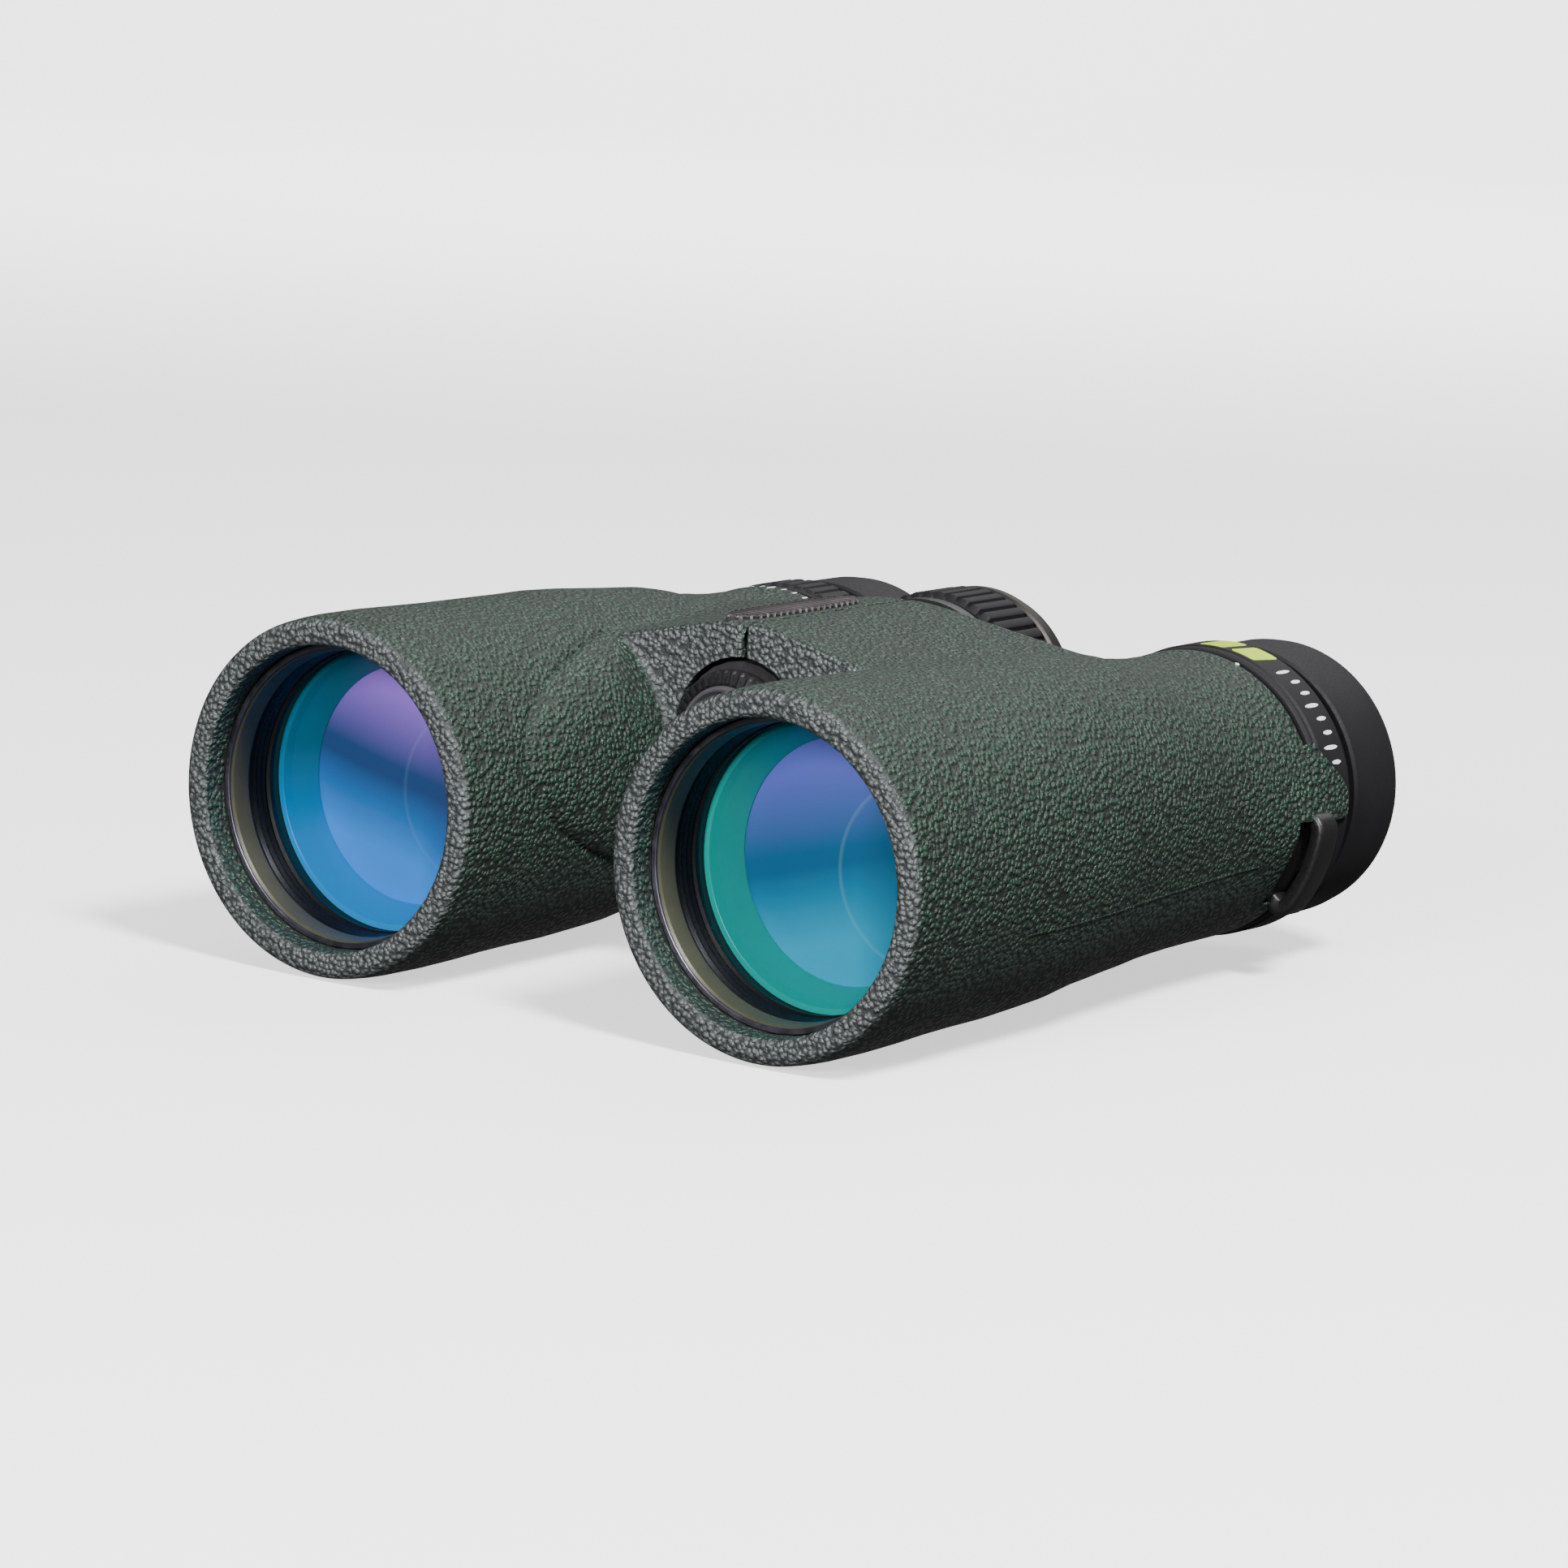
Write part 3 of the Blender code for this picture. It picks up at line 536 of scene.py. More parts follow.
def bridge_radius(theta, y):
    """Distance from the barrel axis to the outside of the bridge half along each angle."""
    slope = 0.23 - 0.08 * np.clip((y - BRIDGE_FRONT) / (BRIDGE_REAR - BRIDGE_FRONT), 0, 1)
    cosine, sine = np.cos(theta), np.sin(theta)
    far = 1e3
    crest = np.where(sine > 0.02, BRIDGE_TOP / np.maximum(sine, 0.02), far)
    # Beyond the flat strip the top slopes down towards the barrel
    rise = sine - slope * cosine
    sloped = np.where(rise > 0.02, (BRIDGE_TOP - slope * (HALF - BRIDGE_FLAT)) / np.maximum(rise, 0.02), far)
    split = np.where(cosine > 0.02, (HALF - SPLIT) / np.maximum(cosine, 0.02), far)
    low = []
    for (p0, q0), (p1, q1) in (((HALF, -3.4), (28.6, -4.6)), ((28.6, -4.6), (19.6, -9.5))):
        nx, nz = q1 - q0, p0 - p1
        gap = nx * cosine + nz * sine
        low.append(np.where(gap * (nx * p0 + nz * q0) > 0, (nx * p0 + nz * q0) / np.where(gap == 0, 1, gap), far))
    distances = np.stack([crest, sloped, split, *[np.where(d > 0, d, far) for d in low]])
    width = 0.35
    least = distances.min(axis=0)
    return least - width * np.log(np.exp(-(distances - least) / width).sum(axis=0))


def armour_profile(theta, side):
    """The loop of (y, radius) for every angle: outside from the rim to the rear, then back inside."""
    rows = []

    def add(y, radius):
        rows.append((np.broadcast_to(y, theta.shape).astype(float),
                     np.broadcast_to(radius, theta.shape).astype(float)))

    add(4.2, 22.15)
    add(2.2, RIM_BORE)
    for s, c in quarter(5):
        add(RIM_INNER_ROUND - RIM_INNER_ROUND * s, RIM_BORE + RIM_INNER_ROUND * (1 - c))
    for r in RIM_FLAT:
        add(0.0, r)
    for s, c in quarter(7):
        add(RIM_ROUND - RIM_ROUND * c, 24.5 + RIM_ROUND * s)
    for y in (2.5, 4, 6, 9, 11, *np.arange(12.5, 45.2, 0.7)):
        add(y, barrel_radius(theta, y))

    def outer(y):
        base = barrel_radius(theta, y)
        inner_side = np.cos(theta) > 0.25
        return np.where(inner_side, soft_max(bridge_radius(theta, y), base, 1.6), base)

    base = barrel_radius(theta, BRIDGE_FRONT - FOOT_LEAD)
    top = outer(BRIDGE_FRONT + 1.0)
    step = np.maximum(top - base, 0)
    drift = np.minimum(top - base, 0)
    foot, edge = np.minimum(1.3, step / 2), np.minimum(0.9, step / 2)
    for s, c in quarter(5):
        add(BRIDGE_FRONT - FOOT_LEAD + 1.2 * s, base + foot * (1 - c) + drift * 0.5 * s)
    for k in range(1, 7):
        t = k / 7
        add(BRIDGE_FRONT - 0.2 + 0.2 * t, base + foot + (step - foot - edge) * t + drift * (0.5 + 0.1 * t))
    for s, c in quarter(6):
        add(BRIDGE_FRONT + 1.0 * (1 - c), top - edge + edge * s - drift * 0.4 * c)
    for y in np.arange(49.5, 86.6, 1.5):
        add(y, outer(y))
    rear_top, rear_base = outer(87.6), barrel_radius(theta, 91.0)
    drop = np.maximum(rear_top - rear_base, 0)
    edge, foot = np.minimum(1.6, drop / 2), np.minimum(1.2, drop / 2)
    for s, c in quarter(6):
        add(REAR_EDGE + 1.5 * s, rear_top - edge * (1 - c))
    for k in range(1, 5):
        t = k / 5
        add(REAR_WALL + 0.2 * t, rear_top - edge - (drop - edge - foot) * t)
    for s, c in quarter(5):
        add(REAR_FOOT + 1.4 * (1 - c), rear_base + foot * (1 - s))
    for y in np.arange(92.5, 108.1, 1.3):
        add(y, barrel_radius(theta, y))

    # On the left barrel, which has no turning ring, a tongue reaches back over the collar above the strap lug
    above_lug = math.pi - theta
    tongue = (smooth_step(above_lug, math.radians(30), math.radians(4))
              * smooth_step(above_lug, math.radians(-5.5), math.radians(-2.5)) * (side > 0))
    end = ARMOUR_END + TONGUE * tongue
    over = np.where(tongue > 0.03, 22.15, 20.2)
    last = np.maximum(barrel_radius(theta, END_FROM), over + 0.35)
    rim = np.maximum(last - 0.4, over + 0.6)
    for t in (0.2, 0.5, 0.8):
        add(END_FROM + (end - 0.6 - END_FROM) * t, last + (rim - last) * t)
    for s, c in quarter(4):
        add(end - 0.6 + 0.6 * s, rim - 0.5 * (1 - c))
    add(end, over)
    add(np.minimum(end - 0.01, 110.15), over)
    add(109.7, 20.0)
    for y in (100.0, 90.0, 72.0, 54.0, 30.0, 4.4):
        add(y, np.interp(y, *zip(*BORE)))
    add(4.3, 23.6)
    return rows


def build_armour(side, look):
    """One half's armour, with room cut for the hinge, the housing's arm and the strap lug."""
    name = NAME[side]
    coarse = np.radians(np.arange(0, 360, 1.3))
    corner = math.atan2(BRIDGE_TOP, HALF - SPLIT)
    fine = np.concatenate([corner + np.radians(np.arange(-1.6, 1.61, 0.2)),
                           np.radians(np.arange(-8, 62, 0.65)),
                           math.pi - np.radians(np.arange(-8, 34, 0.6))])
    theta = np.unique(np.round(np.concatenate([coarse, fine]) % (2 * math.pi), 4))
    rows = armour_profile(theta, side)
    points = []
    for y, radius in rows:
        points.append(np.stack([side * (HALF - radius * np.cos(theta)), place_y(y),
                                AXIS_Z + radius * np.sin(theta)], axis=1))
    mesh = mesh_from(f"{name}_armour_skin", np.concatenate(points),
                     grid_faces(len(rows), len(theta), True, True))

    sector = []
    for k in range(73):
        a = math.pi / 2 + FOLD_CLEARANCE * (1 - 2 * k / 72)
        sector.append((POCKET_R * math.cos(a), HINGE_Z + POCKET_R * math.sin(a)))
    for a in (math.pi / 2 - FOLD_CLEARANCE, math.pi / 2 + FOLD_CLEARANCE):
        sector.append((POCKET_REACH * math.cos(a), HINGE_Z + POCKET_REACH * math.sin(a)))
    (x0, x1), (y0, y1), (z0, z1) = WINDOW
    x0, x1 = sorted((side * x0, side * x1))
    window = [(x0, AXIS_Z + z0), (x1, AXIS_Z + z0), (x1, AXIS_Z + z1), (x0, AXIS_Z + z1)]
    lug = []
    for radius, angles in ((25.5, np.linspace(-2, -41, 14)), (20.05, np.linspace(-41, -2, 14))):
        for a in np.radians(angles):
            lug.append((side * (HALF + radius * math.cos(a)), AXIS_Z + radius * math.sin(a)))
    mesh = cut_away(mesh, [
        prism_mesh("pocket", sector, BRIDGE_FRONT - 6, BRIDGE_REAR + 4),
        prism_mesh("window", window, y0, y1),
        prism_mesh("lug_room", lug, *LUG_ROOM),
    ])
    mark_front(mesh, side)
    finish_piece(f"{name}_armour_skin", mesh, look, f"{name}_barrel", [f"{name}_armour"], sharp=50)


def build_parting_line(side, look):
    """The thin raised line that the mould leaves along the outer flank."""
    name, centre = NAME[side], centre_of(side)
    a = upright(side, PARTING_DEGREES)
    outward, along = np.array([math.cos(a), 0.0, math.sin(a)]), np.array([-math.sin(a), 0.0, math.cos(a)])
    path = []
    for y in np.linspace(*PARTING_ENDS, 68):
        radius = float(barrel_radius(math.pi - math.radians(PARTING_DEGREES), y))
        path.append((np.array([centre[0], place_y(y), centre[1]]) + outward * radius, outward, along))
    section = [(-0.30, -0.24), (0.14, -0.13), (0.14, 0.13), (-0.30, 0.24)]
    finish_piece(f"{name}_parting_line", swept_bar(f"{name}_parting_line", section, path), look, f"{name}_barrel",
                 sharp=60)


def mark_front(mesh, side):
    """Stores how far each point faces forward, on the rim and on the bridge's front face. The armour paints a grey
    sheen there and uses another grain scale.
    """
    count = len(mesh.vertices)
    place, normal = np.empty(count * 3), np.empty(count * 3)
    mesh.vertices.foreach_get("co", place)
    mesh.vertex_normals.foreach_get("vector", normal)
    place, normal = place.reshape(-1, 3) / MM, normal.reshape(-1, 3)
    y = place[:, 1] - FRONT
    radius = np.hypot(place[:, 0] - side * HALF, place[:, 2] - AXIS_Z)
    rim = smooth_step(-normal[:, 1], 0.35, 0.8) * (y < 3)
    wall = smooth_step(-normal[:, 1], 0.5, 0.9) * (np.abs(y - BRIDGE_FRONT) < 1.5) * (radius > 25)
    facing = mesh.attributes.new("facing_front", "FLOAT", "POINT")
    facing.data.foreach_set("value", np.clip(rim + wall, 0, 1).astype(np.float32))


# ---- objective end


def centre_of(side):
    return (side * HALF, AXIS_Z)


def build_objective(side, looks):
    """What shows inside the hood: retaining ring, bright edge, stepped cell, and the two coated elements."""
    name, centre = NAME[side], centre_of(side)
    body = f"{name}_barrel"
    turned_piece(f"{name}_retaining_ring_fine", RETAINING_RING, centre, looks["olive"], body,
                 [f"{name}_retaining_ring"], steps=5)
    turned_piece(f"{name}_retaining_ring_edge", RING_EDGE, centre, looks["bright_edge"], body,
                 steps=3)
    y = CELL_STEP_FROM
    cell = [(21.8, 8.75), (21.8, 23.9), (19.7, 23.9), (19.7, 17.3), (20.95, 17.3), (20.95, y), (20.5, y, 0.05),
            (20.5, y - 0.5, 0.1)]
    for k in range(3):
        y -= CELL_STEP
        cell += [(20.95 + 0.08 * k, y + 0.2, 0.05), (20.75 + 0.08 * k, y - 0.25, 0.1)]
    cell += [(21.25, 9.2, 0.05), (21.25, 8.75, 0.05)]
    turned_piece(f"{name}_objective_cell_fine", cell, centre, looks["black_metal"], body,
                 [f"{name}_objective_cell"], steps=3)

    lens_piece(f"{name}_front_element", centre, (20.85, 13.6, 2.0, 16.4, -0.8), looks["glass"], body,
               f"{name}_objective_front_lens")
    turned_piece(f"{name}_front_element_edge", ELEMENT_EDGE, centre, looks[f"{name}_edge"], body,
                 steps=3)
    lens_piece(f"{name}_rear_element", centre, (17.7, 20.4, 1.6, 22.0, 0.3), looks[f"{name}_disc"], body,
               f"{name}_objective_rear_lens")


def lens_mesh(name, centre, radius, y_front, bulge_front, y_rear, bulge_rear, segments=112, rings=14):
    """A closed element: two spherical caps and an edge. A positive front bulge stands towards the front."""
    points = [(centre[0], place_y(y_front - bulge_front), centre[1])]
    faces = []
    angles = 2 * math.pi * np.arange(segments) / segments

    def ring(r, y):
        points.extend(on_ring(centre, r, a, y) for a in angles)

    for k in range(1, rings + 1):
        t = k / rings
        ring(radius * t, y_front - bulge_front * (1 - t * t))
    for k in range(rings, 0, -1):
        t = k / rings
        ring(radius * t, y_rear + bulge_rear * (1 - t * t))
    points.append((centre[0], place_y(y_rear + bulge_rear), centre[1]))
    last = len(points) - 1
    for k in range(segments):
        n = (k + 1) % segments
        faces.append((0, 1 + k, 1 + n))
        for row in range(2 * rings - 1):
            a, b = 1 + row * segments, 1 + (row + 1) * segments
            faces.append((a + k, b + k, b + n, a + n))
        a = 1 + (2 * rings - 1) * segments
        faces.append((a + k, last, a + n))
    return mesh_from(name, points, faces)


def lens_piece(name, centre, shape, look, body, replaced):
    finish_piece(name, lens_mesh(name, centre, *shape), look, body, [replaced])


# ---- eyepiece end


def curved_patch(centre, radius, rise, outline, sink=0.15):
    """A thin raised mark wrapped round a barrel. outline is a loop of (angle, y), shared by top and underside."""
    n = len(outline)
    points = []
    for r in (radius + rise, radius - sink):
        for a, y in outline:
            points.append(on_ring(centre, r, a, y))
    middle = np.mean(outline, axis=0)
    for r in (radius + rise, radius - sink):
        points.append(on_ring(centre, r, *middle))
    faces = []
    for k in range(n):
        j = (k + 1) % n
        faces += [(k, j, 2 * n), (n + k, 2 * n + 1, n + j), (k, n + k, n + j, j)]
    return points, faces


def slot_outline(a0, a1, y0, y1):
    """A rounded bar's outline between two angles."""
    steps, count = 8, 10
    middle, half = (y0 + y1) / 2, (y1 - y0) / 2
    span = a1 - a0
    round_angle = min(abs(span) / 2, half / 21.9) * (1 if span > 0 else -1)
    loop = []
    for end, sign in ((a1 - round_angle, 1), (a0 + round_angle, -1)):
        for k in range(steps + 1):
            t = -math.pi / 2 + math.pi * k / steps
            a = end + sign * round_angle * math.cos(t)
            y = middle + sign * half * math.sin(t)
            loop.append((a, y))
    full = []
    for k, (a, y) in enumerate(loop):
        full.append((a, y))
        b, z = loop[(k + 1) % len(loop)]
        if abs(b - a) > abs(round_angle) and abs(span) > 2.2 * abs(round_angle):
            full += [(a + (b - a) * j / count, y + (z - y) * j / count) for j in range(1, count)]
    return full


def leaning_bar(start, end):
    """The outline of a printed bar on the collar: a leaning bar with rounded corners, between two angles."""
    u0, u1 = (math.radians(v) * COLLAR_R for v in (start, end))
    y0, y1 = BAR_Y
    corners = [(u0, y0, BAR_ROUND), (u1, y0, BAR_ROUND), (u1 - BAR_LEAN, y1, BAR_ROUND), (u0 - BAR_LEAN, y1, BAR_ROUND)]
    loop = [(u / COLLAR_R, y) for u, y in filleted(corners)]
    full = []
    for k, (a, y) in enumerate(loop):
        b, z = loop[(k + 1) % len(loop)]
        count = max(1, round(abs(b - a) / math.radians(1.2)))
        full += [(a + (b - a) * j / count, y + (z - y) * j / count) for j in range(count)]
    return full


def marks(name, centre, radius, rise, outlines, look, body):
    """Several raised marks as one piece."""
    points, faces = [], []
    for outline in outlines:
        more, loops = curved_patch(centre, radius, rise, outline)
        faces += [tuple(len(points) + i for i in loop) for loop in loops]
        points += more
    finish_piece(name, mesh_from(name, points, faces), look, body, sharp=40)


def upright(side, degrees):
    """The angle in the X-Z plane of a place given in degrees above a barrel's outward side."""
    a = math.radians(degrees)
    return a if side > 0 else math.pi - a


def build_collar(looks):
    """The fixed collar of the left barrel, with its printed bars, ticks and index dot."""
    centre = centre_of(1)
    turned_piece("left_collar_fine", COLLAR, centre, looks["charcoal"], "left_barrel",
                 ["left_collar_ring"])
    marks("left_collar_bar", centre, COLLAR_R, PRINT_RISE, [leaning_bar(*ends) for ends in COLLAR_BARS],
          looks["lime"], "left_barrel")
    ticks = []
    for k, degrees in enumerate(COLLAR_TICKS):
        low = 113.4 if k % 3 == 0 else 114.6
        ticks.append(slot_outline(upright(1, degrees + 0.9), upright(1, degrees - 0.9), low, 117.0))
    marks("left_collar_ticks", centre, COLLAR_R, PRINT_RISE, ticks, looks["white"], "left_barrel")
    dot = slot_outline(upright(1, 71.9), upright(1, 70.1), 108.35, 109.05)
    marks("left_index_dot", centre, 21.42, 0.10, [dot], looks["white"], "left_barrel")


def build_dioptre_ring(looks):
    """The ribbed ring of the right barrel, and the printed scale in front of it."""
    side = -1
    centre = centre_of(side)

    def rib(angles, r, y):
        if r < 21.2 or not 111.2 < y < 118.6:
            return 0.0
        phase = (angles * DIOPTRE_RIBS / (2 * math.pi)) % 1.0
        return -0.42 * np.exp(-((phase - 0.5) / 0.17) ** 4)

    turned_piece("dioptre_ring_fine", DIOPTRE_RING, centre, looks["charcoal"], "dioptre_ring",
                 ["dioptre_ring"], DIOPTRE_RIBS * 10, rib)
    scale = []
    for k in range(-3, 4):
        degrees = 90 + 5.5 * k
        low = 106.2 if k == 0 else 107.2
        wide = 0.8 if k == 0 else 0.5
        scale.append(slot_outline(upright(side, degrees + wide), upright(side, degrees - wide), low, 108.6))
    marks("dioptre_scale", centre, 21.38, 0.06, scale, looks["white"], "right_barrel")


def build_eyecup(side, looks):
    """The eyecup, the slider that lifts it, the guide they run on, and the eye lens."""
    name, centre = NAME[side], centre_of(side)
    turned_piece(f"{name}_eyecup_fine", EYECUP, centre, looks["charcoal"], f"{name}_eyecup",
                 [f"{name}_eyecup"], steps=6)
    turned_piece(f"{name}_eyecup_slider_fine", EYECUP_SLIDER, centre, looks["black_plastic"],
                 f"{name}_eyecup_slider", [f"{name}_eyecup_slider"], 96, steps=3)
    turned_piece(f"{name}_eyecup_guide_fine", EYECUP_GUIDE, centre, looks["black_plastic"], f"{name}_barrel",
                 [f"{name}_eyecup_guide"])
    body = "left_barrel" if side > 0 else "right_eyepiece_group"
    lens_piece(f"{name}_eye_lens_fine", centre, (12.85, 122.5, -0.6, 125.4, 0.9, 96, 10), looks["eye_glass"], body,
               f"{name}_eye_lens")


# ---- strap lug


def build_lug(side, looks):
    """A rounded bar bridging the slot, with both ends turned in to the post."""
    name, centre = NAME[side], centre_of(side)
    out = 23.45
    stations = [(-2.4, 20.6), (-2.4, 21.9), (-2.9, 22.8), (-4.6, out - 0.15)]
    stations += [(-6.5 - 2.45 * k, out) for k in range(13)]
    stations += [(-38.6, out - 0.15), (-40.2, 22.8), (-40.6, 21.9), (-40.6, 20.6)]
    section = filleted([(-1.25, -2.75, 0.9), (1.25, -2.2, 0.9), (1.3, 2.3, 0.9), (-1.25, 2.3, 0.9)])
    path, places = [], []
    for degrees, radius in stations:
        places.append(np.array(on_ring(centre, radius, upright(side, degrees), LUG_Y)))
    for k, place in enumerate(places):
        ahead = places[min(k + 1, len(places) - 1)] - places[max(k - 1, 0)]
        ahead /= np.linalg.norm(ahead)
        along_y = np.array([0.0, 1.0, 0.0])
        outward = np.cross(along_y, ahead)
        middle = place - np.array([centre[0], place[1], centre[1]])
        if outward @ middle < 0 and 3 < k < len(places) - 4:
            outward = -outward
        if path and outward @ path[-1][1] < 0:
            outward = -outward
        path.append((place, outward, along_y))
    bar = swept_bar(f"{name}_strap_bar", section, path)
    foot = slot_outline(upright(side, -1.5), upright(side, -41.5), *LUG_FOOT)
    points, faces = curved_patch(centre, 20.15, 1.0, foot, 0.1)
    plate = mesh_from(f"{name}_strap_plate", points, faces)
    finish_piece(f"{name}_strap_lug_fine", joined(f"{name}_strap_lug_fine", [bar, plate]), looks["black_plastic"],
                 f"{name}_barrel", [f"{name}_strap_lug"], sharp=45)


# ---- bridge


def build_wheel(looks):
    """The focus wheel: core, ribbed grip and end ring."""
    centre = (0.0, HINGE_Z)

    def rib(angles, r, y):
        if r < 15.4 or not 96.4 < y < 106.7:
            return 0.0
        phase = (angles * WHEEL_RIBS / (2 * math.pi)) % 1.0
        crown = -0.22 * (2 * phase - 1) ** 2
        groove = -0.80 * np.exp(-((np.minimum(phase, 1 - phase)) / 0.13) ** 4)
        return crown + groove

    turned_piece("focus_wheel_core_fine", WHEEL_CORE, centre, looks["black_plastic"], "focus_wheel",
                 ["focus_wheel_core"], 120)
    turned_piece("focus_wheel_grip_fine", WHEEL_GRIP, centre, looks["charcoal"], "focus_wheel",
                 ["focus_wheel_grip"], WHEEL_RIBS * 12, rib)
    turned_piece("focus_wheel_trim_fine", WHEEL_TRIM, centre, looks["warm_grey"], "focus_wheel",
                 ["focus_wheel_trim"])


def build_cap(looks):
    """The round cap in the front of the hinge: serrated flange, sunk face and radial ticks."""
    centre = (0.0, HINGE_Z)

    def serration(angles, r, y):
        if r < 9.3 or y > 45.6:
            return 0.0
        phase = (angles * CAP_TEETH / (2 * math.pi)) % 1.0
        return -0.32 * np.exp(-((phase - 0.5) / 0.22) ** 4)

    turned_piece("tripod_cap_flange", CAP_FLANGE, centre, looks["cap_ring"], "tripod_cap",
                 (), CAP_TEETH * 10, serration, 3)
    turned_piece("tripod_cap_face", CAP_FACE, centre, looks["plum"], "tripod_cap", ["tripod_cap"], 96)
    points, faces = [], []
    half = 0.028
    for k in range(CAP_TEETH):
        a, start = 2 * math.pi * k / CAP_TEETH, len(points)
        for r, y in CAP_TICK:
            for off in (-half, half):
                points.append(on_ring(centre, r, a + off, y))
        for i in range(4):
            j = (i + 1) % 4
            faces.append(tuple(start + n for n in (2 * i, 2 * i + 1, 2 * j + 1, 2 * j)))
        faces += [tuple(start + n for n in (0, 2, 4, 6)), tuple(start + n for n in (1, 3, 5, 7))]
    finish_piece("tripod_cap_ticks", mesh_from("tripod_cap_ticks", points, faces), looks["cap_ring"],
                 "tripod_cap", sharp=None)


def build_inlay(looks):
    """The leaf-shaped plate along the top of the bridge, with toothed sides and cross ridges."""
    (x0, x1), (y0, y1) = INLAY_X, INLAY_Y
    top = AXIS_Z + BRIDGE_TOP + INLAY_RISE
    rows = []
    count = 190
    for k in range(count + 1):
        t = k / count
        y = y0 + (y1 - y0) * t
        width = math.sin(math.pi * min(1.0, t / 0.20) / 2) ** 0.9
        width *= math.sin(math.pi * min(1.0, (1 - t) / 0.08) / 2) ** 0.6
        tooth = 0.34 * (((y - y0) / INLAY_PITCH) % 1.0 < 0.38) * (0.05 < t < 0.97)
        half = max(0.05, (x1 - x0) / 2 * (0.82 + 0.18 * math.sin(math.pi * t)) * width - tooth)
        ridge = 0.22 * (0.5 + 0.5 * math.cos(2 * math.pi * (y - y0) / INLAY_PITCH)) ** 2
        rows.append((y, half, top - ridge))
    middle = (x0 + x1) / 2
    points = []
    for y, half, high in rows:
        for x, z in ((-half, top - 2.0), (-half, high - 0.35), (-half + min(0.3, half / 3), high - 0.08),
                     (0, high), (half - min(0.3, half / 3), high - 0.08), (half, high - 0.35), (half, top - 2.0)):
            points.append((middle + x, place_y(y), z))
    mesh = mesh_from("bridge_inlay_fine", points, capped_faces(len(rows), 7))
    finish_piece("bridge_inlay_fine", mesh, looks["inlay"], "right_barrel", ["bridge_inlay"], sharp=40)


# ---- looks of the whole


def make_looks():
    looks = {
        "armour": armour_material(),
        "charcoal": matte_material("charcoal_rubber_fine", (0.0080, 0.0076, 0.0092), 0.66, 3200.0, 0.00005, 0.2,
                                   specular=0.28),
        "black_plastic": matte_material("black_plastic_moulded", (0.0070, 0.0072, 0.0076), 0.42, 1800.0, 0.00004, 0.25),
        "black_metal": matte_material("black_anodised_metal", (0.010, 0.010, 0.011), 0.38, 2600.0, 0.00003, 0.25, 0.5),
        "olive": matte_material("olive_anodised_metal", (0.050, 0.048, 0.028), 0.45, 2600.0, 0.00003, 0.2, 0.3),
        "bright_edge": turned_metal_material("bright_turned_edge", (0.13, 0.12, 0.15), 0.36),
        "warm_grey": turned_metal_material("warm_grey_anodised", (0.062, 0.058, 0.054), 0.52),
        "cap_ring": matte_material("cap_ring_plastic", (0.008, 0.0078, 0.0088), 0.40, 1500.0, 0.00004, 0.2),
        "plum": matte_material("cap_face_plastic", (0.052, 0.047, 0.056), 0.40, 1500.0, 0.00004, 0.2),
        "inlay": matte_material("inlay_plastic", (0.018, 0.014, 0.015), 0.42, 1500.0, 0.00005, 0.3, specular=0.4),
        "lime": matte_material("lime_print", (0.42, 0.60, 0.0), 0.5, 2600.0, 0.00001, 0.05),
        "white": matte_material("white_print", (0.75, 0.75, 0.75), 0.5, 2600.0, 0.00001, 0.05),
        "steel": turned_metal_material("steel_turned", (0.42, 0.42, 0.43), 0.30),
        "cast": matte_material("cast_housing_black", (0.02, 0.02, 0.021), 0.55, 1400.0, 0.00008, 0.25, 0.3),
        "glass": clear_glass_material(),
    }
    for side in (1, -1):
        name, centre = NAME[side], centre_of(side)
        near = side > 0
        # Coloured faces of the lens elements, painted with reflections of the lamps and a pale painted highlight arc
        looks[f"{name}_disc"] = painted_reflection_material(
            f"{name}_second_element_painted_reflection",
            top=(0.10, 0.10, 0.52, 1) if near else (0.32, 0.13, 0.72, 1),
            middle=(0.002, 0.085, 0.23, 1) if near else (0.012, 0.030, 0.16, 1),
            bottom=(0.0, 0.35, 0.60, 1) if near else (0.03, 0.26, 0.85, 1),
            side=(0.001, 0.012, 0.035, 1) if near else (0.02, 0.02, 0.12, 1),
            centre=centre, radius=17.7, tilt=-0.28 if near else 0.22, shine=0.1, painted_arc_weight=0.12 if near else 0.06)
        looks[f"{name}_edge"] = painted_reflection_material(
            f"{name}_front_element_painted_reflection",
            top=(0.001, 0.22, 0.26, 1) if near else (0.001, 0.10, 0.14, 1),
            middle=(0.0, 0.33, 0.28, 1) if near else (0.001, 0.12, 0.22, 1),
            bottom=(0.0, 0.30, 0.27, 1) if near else (0.002, 0.24, 0.62, 1),
            side=(0.001, 0.08, 0.10, 1), centre=centre, radius=20.9, tilt=0.2, shine=0.1)
    # The eye lens is painted with a faint reflection, greenish at the top and violet at the bottom
    looks["eye_glass"] = painted_reflection_material(
        "eye_lens_painted_reflection", top=(0.02, 0.05, 0.03, 1), middle=(0.006, 0.012, 0.012, 1), bottom=(0.03, 0.02, 0.06, 1),
        side=(0.01, 0.02, 0.02, 1), centre=(0, AXIS_Z), radius=40.0, tilt=0.0, shine=0.5)
    return looks


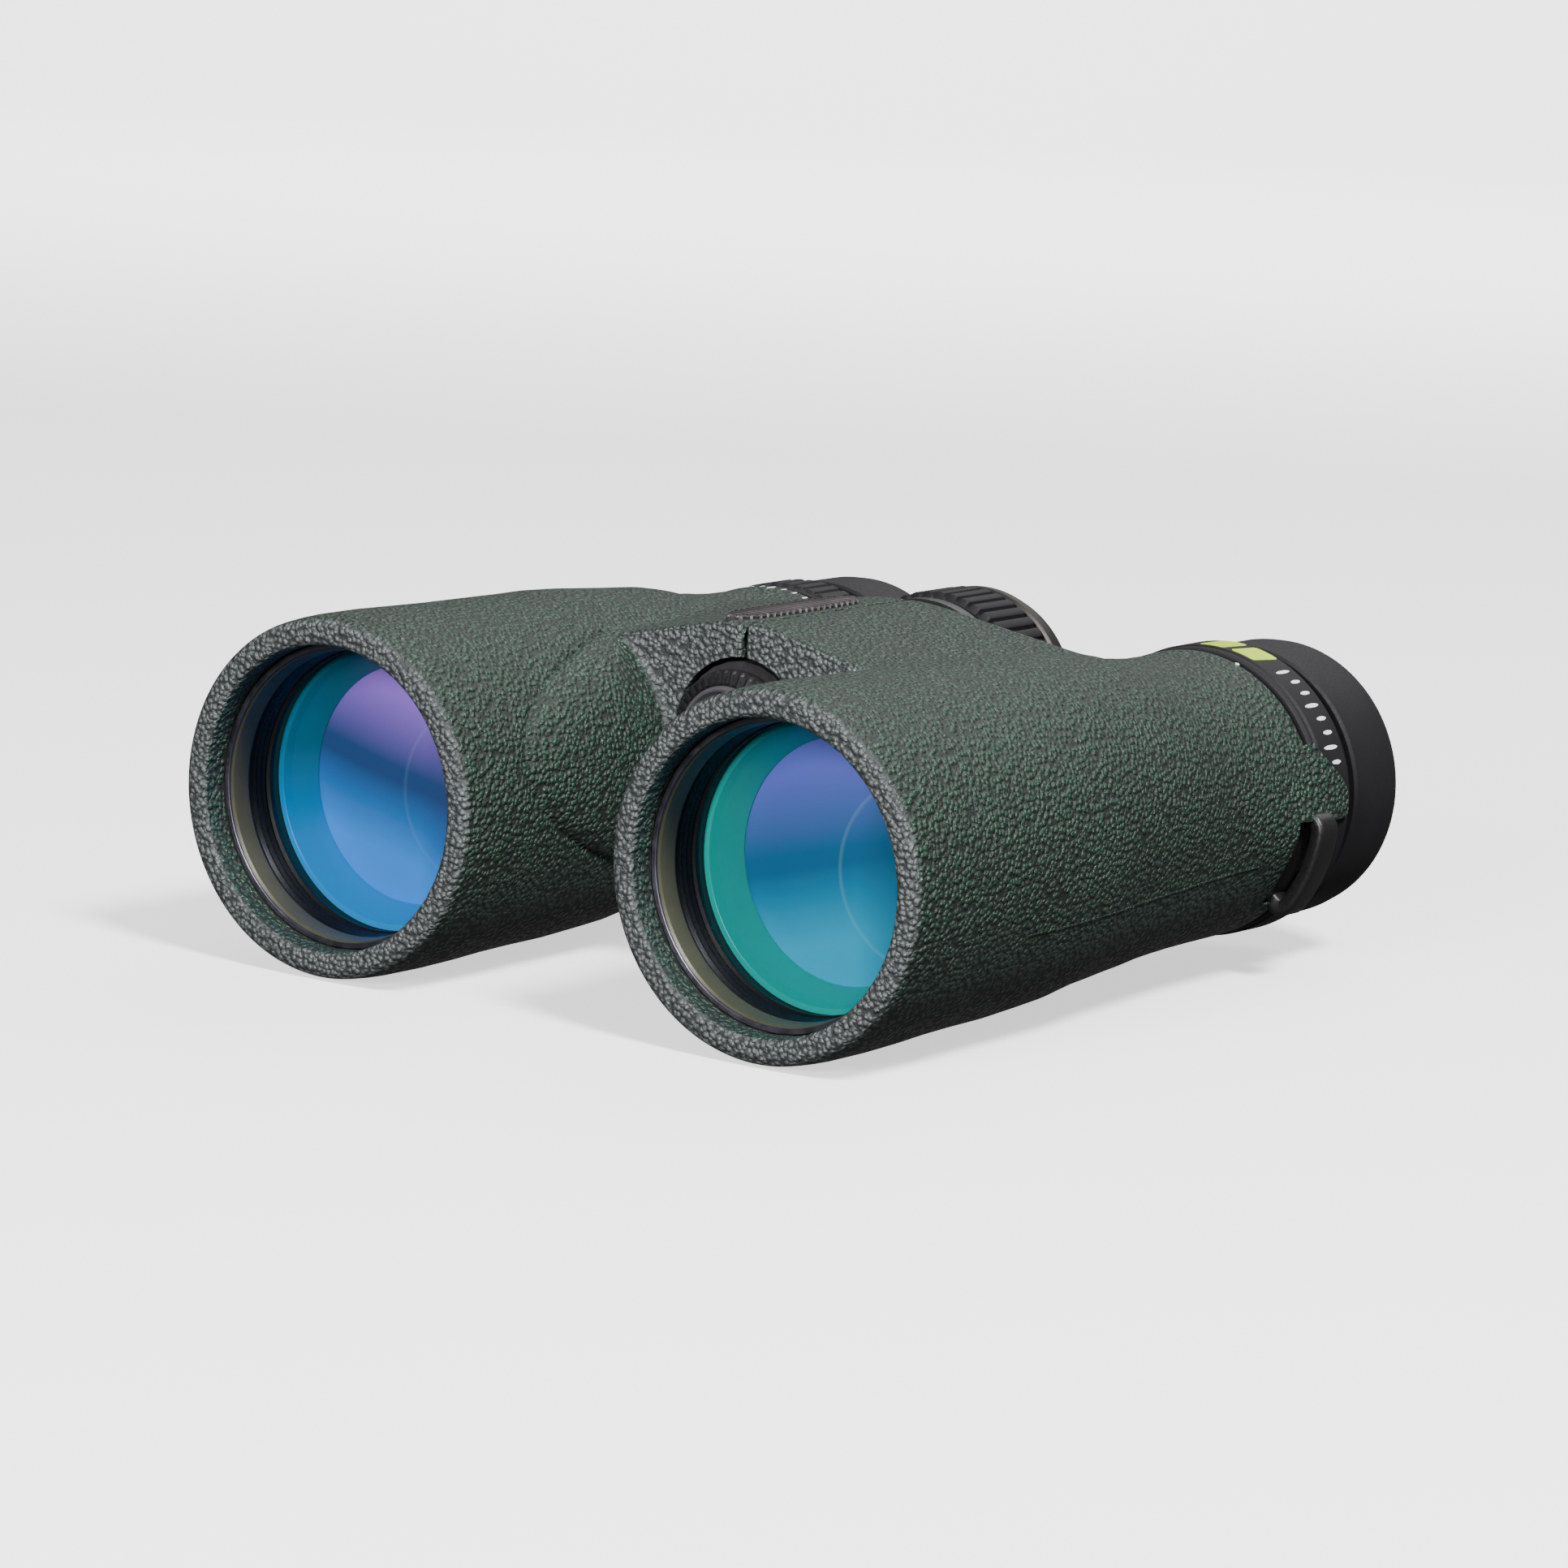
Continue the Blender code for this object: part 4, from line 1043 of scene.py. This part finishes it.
CARRIED = {
    "barrel_housing": "cast", "light_baffle": "black_metal", "prism_holder": "black_metal",
    "half_penta_prism": "prism", "roof_prism": "prism",
    "focus_cell": "black_metal", "focus_lens": "prism", "eyepiece_tube": "black_metal", "field_lens": "prism",
}
CARRIED_ONCE = {
    "hinge_axle": "steel", "hinge_nut": "steel", "hinge_friction_washer": "black_plastic", "tripod_bush": "steel",
    "tripod_cap_washer": "charcoal", "focus_spool": "steel", "focus_spindle": "steel",
}


def dress_carried_nodes(looks):
    looks["prism"] = clear_glass_material()
    looks["prism"].name = "prism_glass"
    looks["prism"].node_tree.nodes["Principled BSDF"].inputs["Alpha"].default_value = 0.45
    names = {f"{side}_{node}": look for side in ("left", "right") for node, look in CARRIED.items()}
    names.update(CARRIED_ONCE)
    for node, look in names.items():
        for material_slot in frame["nodes"][node].material_slots:
            material_slot.material = looks[look]


def softbox(name, place, aim, size, power):
    data = bpy.data.lights.new(name, "AREA")
    data.shape = "RECTANGLE"
    data.size, data.size_y = size
    data.energy = power
    lamp = new_object(name, data)
    lamp.location = Vector(place)
    lamp.rotation_euler = (Vector(aim) - Vector(place)).to_track_quat("-Z", "Y").to_euler()


def build_studio():
    """A pale floor that curves up into a backdrop, and soft lights. The floor throws no light back."""
    points, faces = [], []
    outline = [(-FLOOR_HALF, 0.0), (WALL_AT, 0.0)]
    outline += [(WALL_AT + COVE * s, COVE - COVE * c) for s, c in quarter(13)[1:]]
    outline.append((WALL_AT + COVE, WALL_TOP))
    turn = Matrix.Rotation(math.radians(AZIMUTH), 3, "Z")
    for y, z in outline:
        for x in (-FLOOR_HALF, FLOOR_HALF):
            points.append(tuple(turn @ Vector((x, y, z))))
    for k in range(len(outline) - 1):
        faces.append((2 * k, 2 * k + 1, 2 * k + 3, 2 * k + 2))
    mesh = bpy.data.meshes.new("studio_sweep")
    mesh.from_pydata(points, [], faces)
    mesh.shade_smooth()
    sweep = new_object("studio_sweep", mesh)
    pale, _, shader = new_material("studio_pale")
    set_sockets(shader, Roughness=0.85, Specular_IOR_Level=0.15)
    shader.inputs["Base Color"].default_value = (0.90, 0.90, 0.90, 1)
    mesh.materials.append(pale)
    shader.inputs["Emission Color"].default_value = (1, 1, 1, 1)
    shader.inputs["Emission Strength"].default_value = FLOOR_GLOW
    sweep.visible_diffuse = sweep.visible_glossy = False

    for lamp in LAMPS:
        softbox(*lamp)
    world = bpy.data.worlds.new("studio")
    bpy.context.scene.world = world
    world.use_nodes = True
    background = world.node_tree.nodes["Background"]
    background.inputs["Color"].default_value = (1, 1, 1, 1)
    background.inputs["Strength"].default_value = SKY_STRENGTH


def place_camera():
    a, e, roll = (math.radians(v) for v in (AZIMUTH, ELEVATION, ROLL))
    forward = Vector((-math.sin(a) * math.cos(e), math.cos(a) * math.cos(e), -math.sin(e)))
    level = Vector((math.cos(a), math.sin(a), 0))
    upward = level.cross(forward)
    right = math.cos(roll) * level + math.sin(roll) * upward
    up = math.cos(roll) * upward - math.sin(roll) * level
    data = bpy.data.cameras.new("camera")
    data.lens, data.sensor_width = LENS, SENSOR
    data.clip_start = 0.02
    camera = new_object("camera", data)
    turn = Matrix((right, up, -forward)).transposed().to_4x4()
    camera.matrix_world = Matrix.Translation(Vector(CAMERA_AT) * MM) @ turn
    bpy.context.scene.camera = camera


looks = make_looks()
for side in (1, -1):
    build_armour(side, looks["armour"])
    build_parting_line(side, looks["armour"])
    build_objective(side, looks)
    build_eyecup(side, looks)
    build_lug(side, looks)
build_collar(looks)
build_dioptre_ring(looks)
build_wheel(looks)
build_cap(looks)
build_inlay(looks)
dress_carried_nodes(looks)
build_studio()
place_camera()
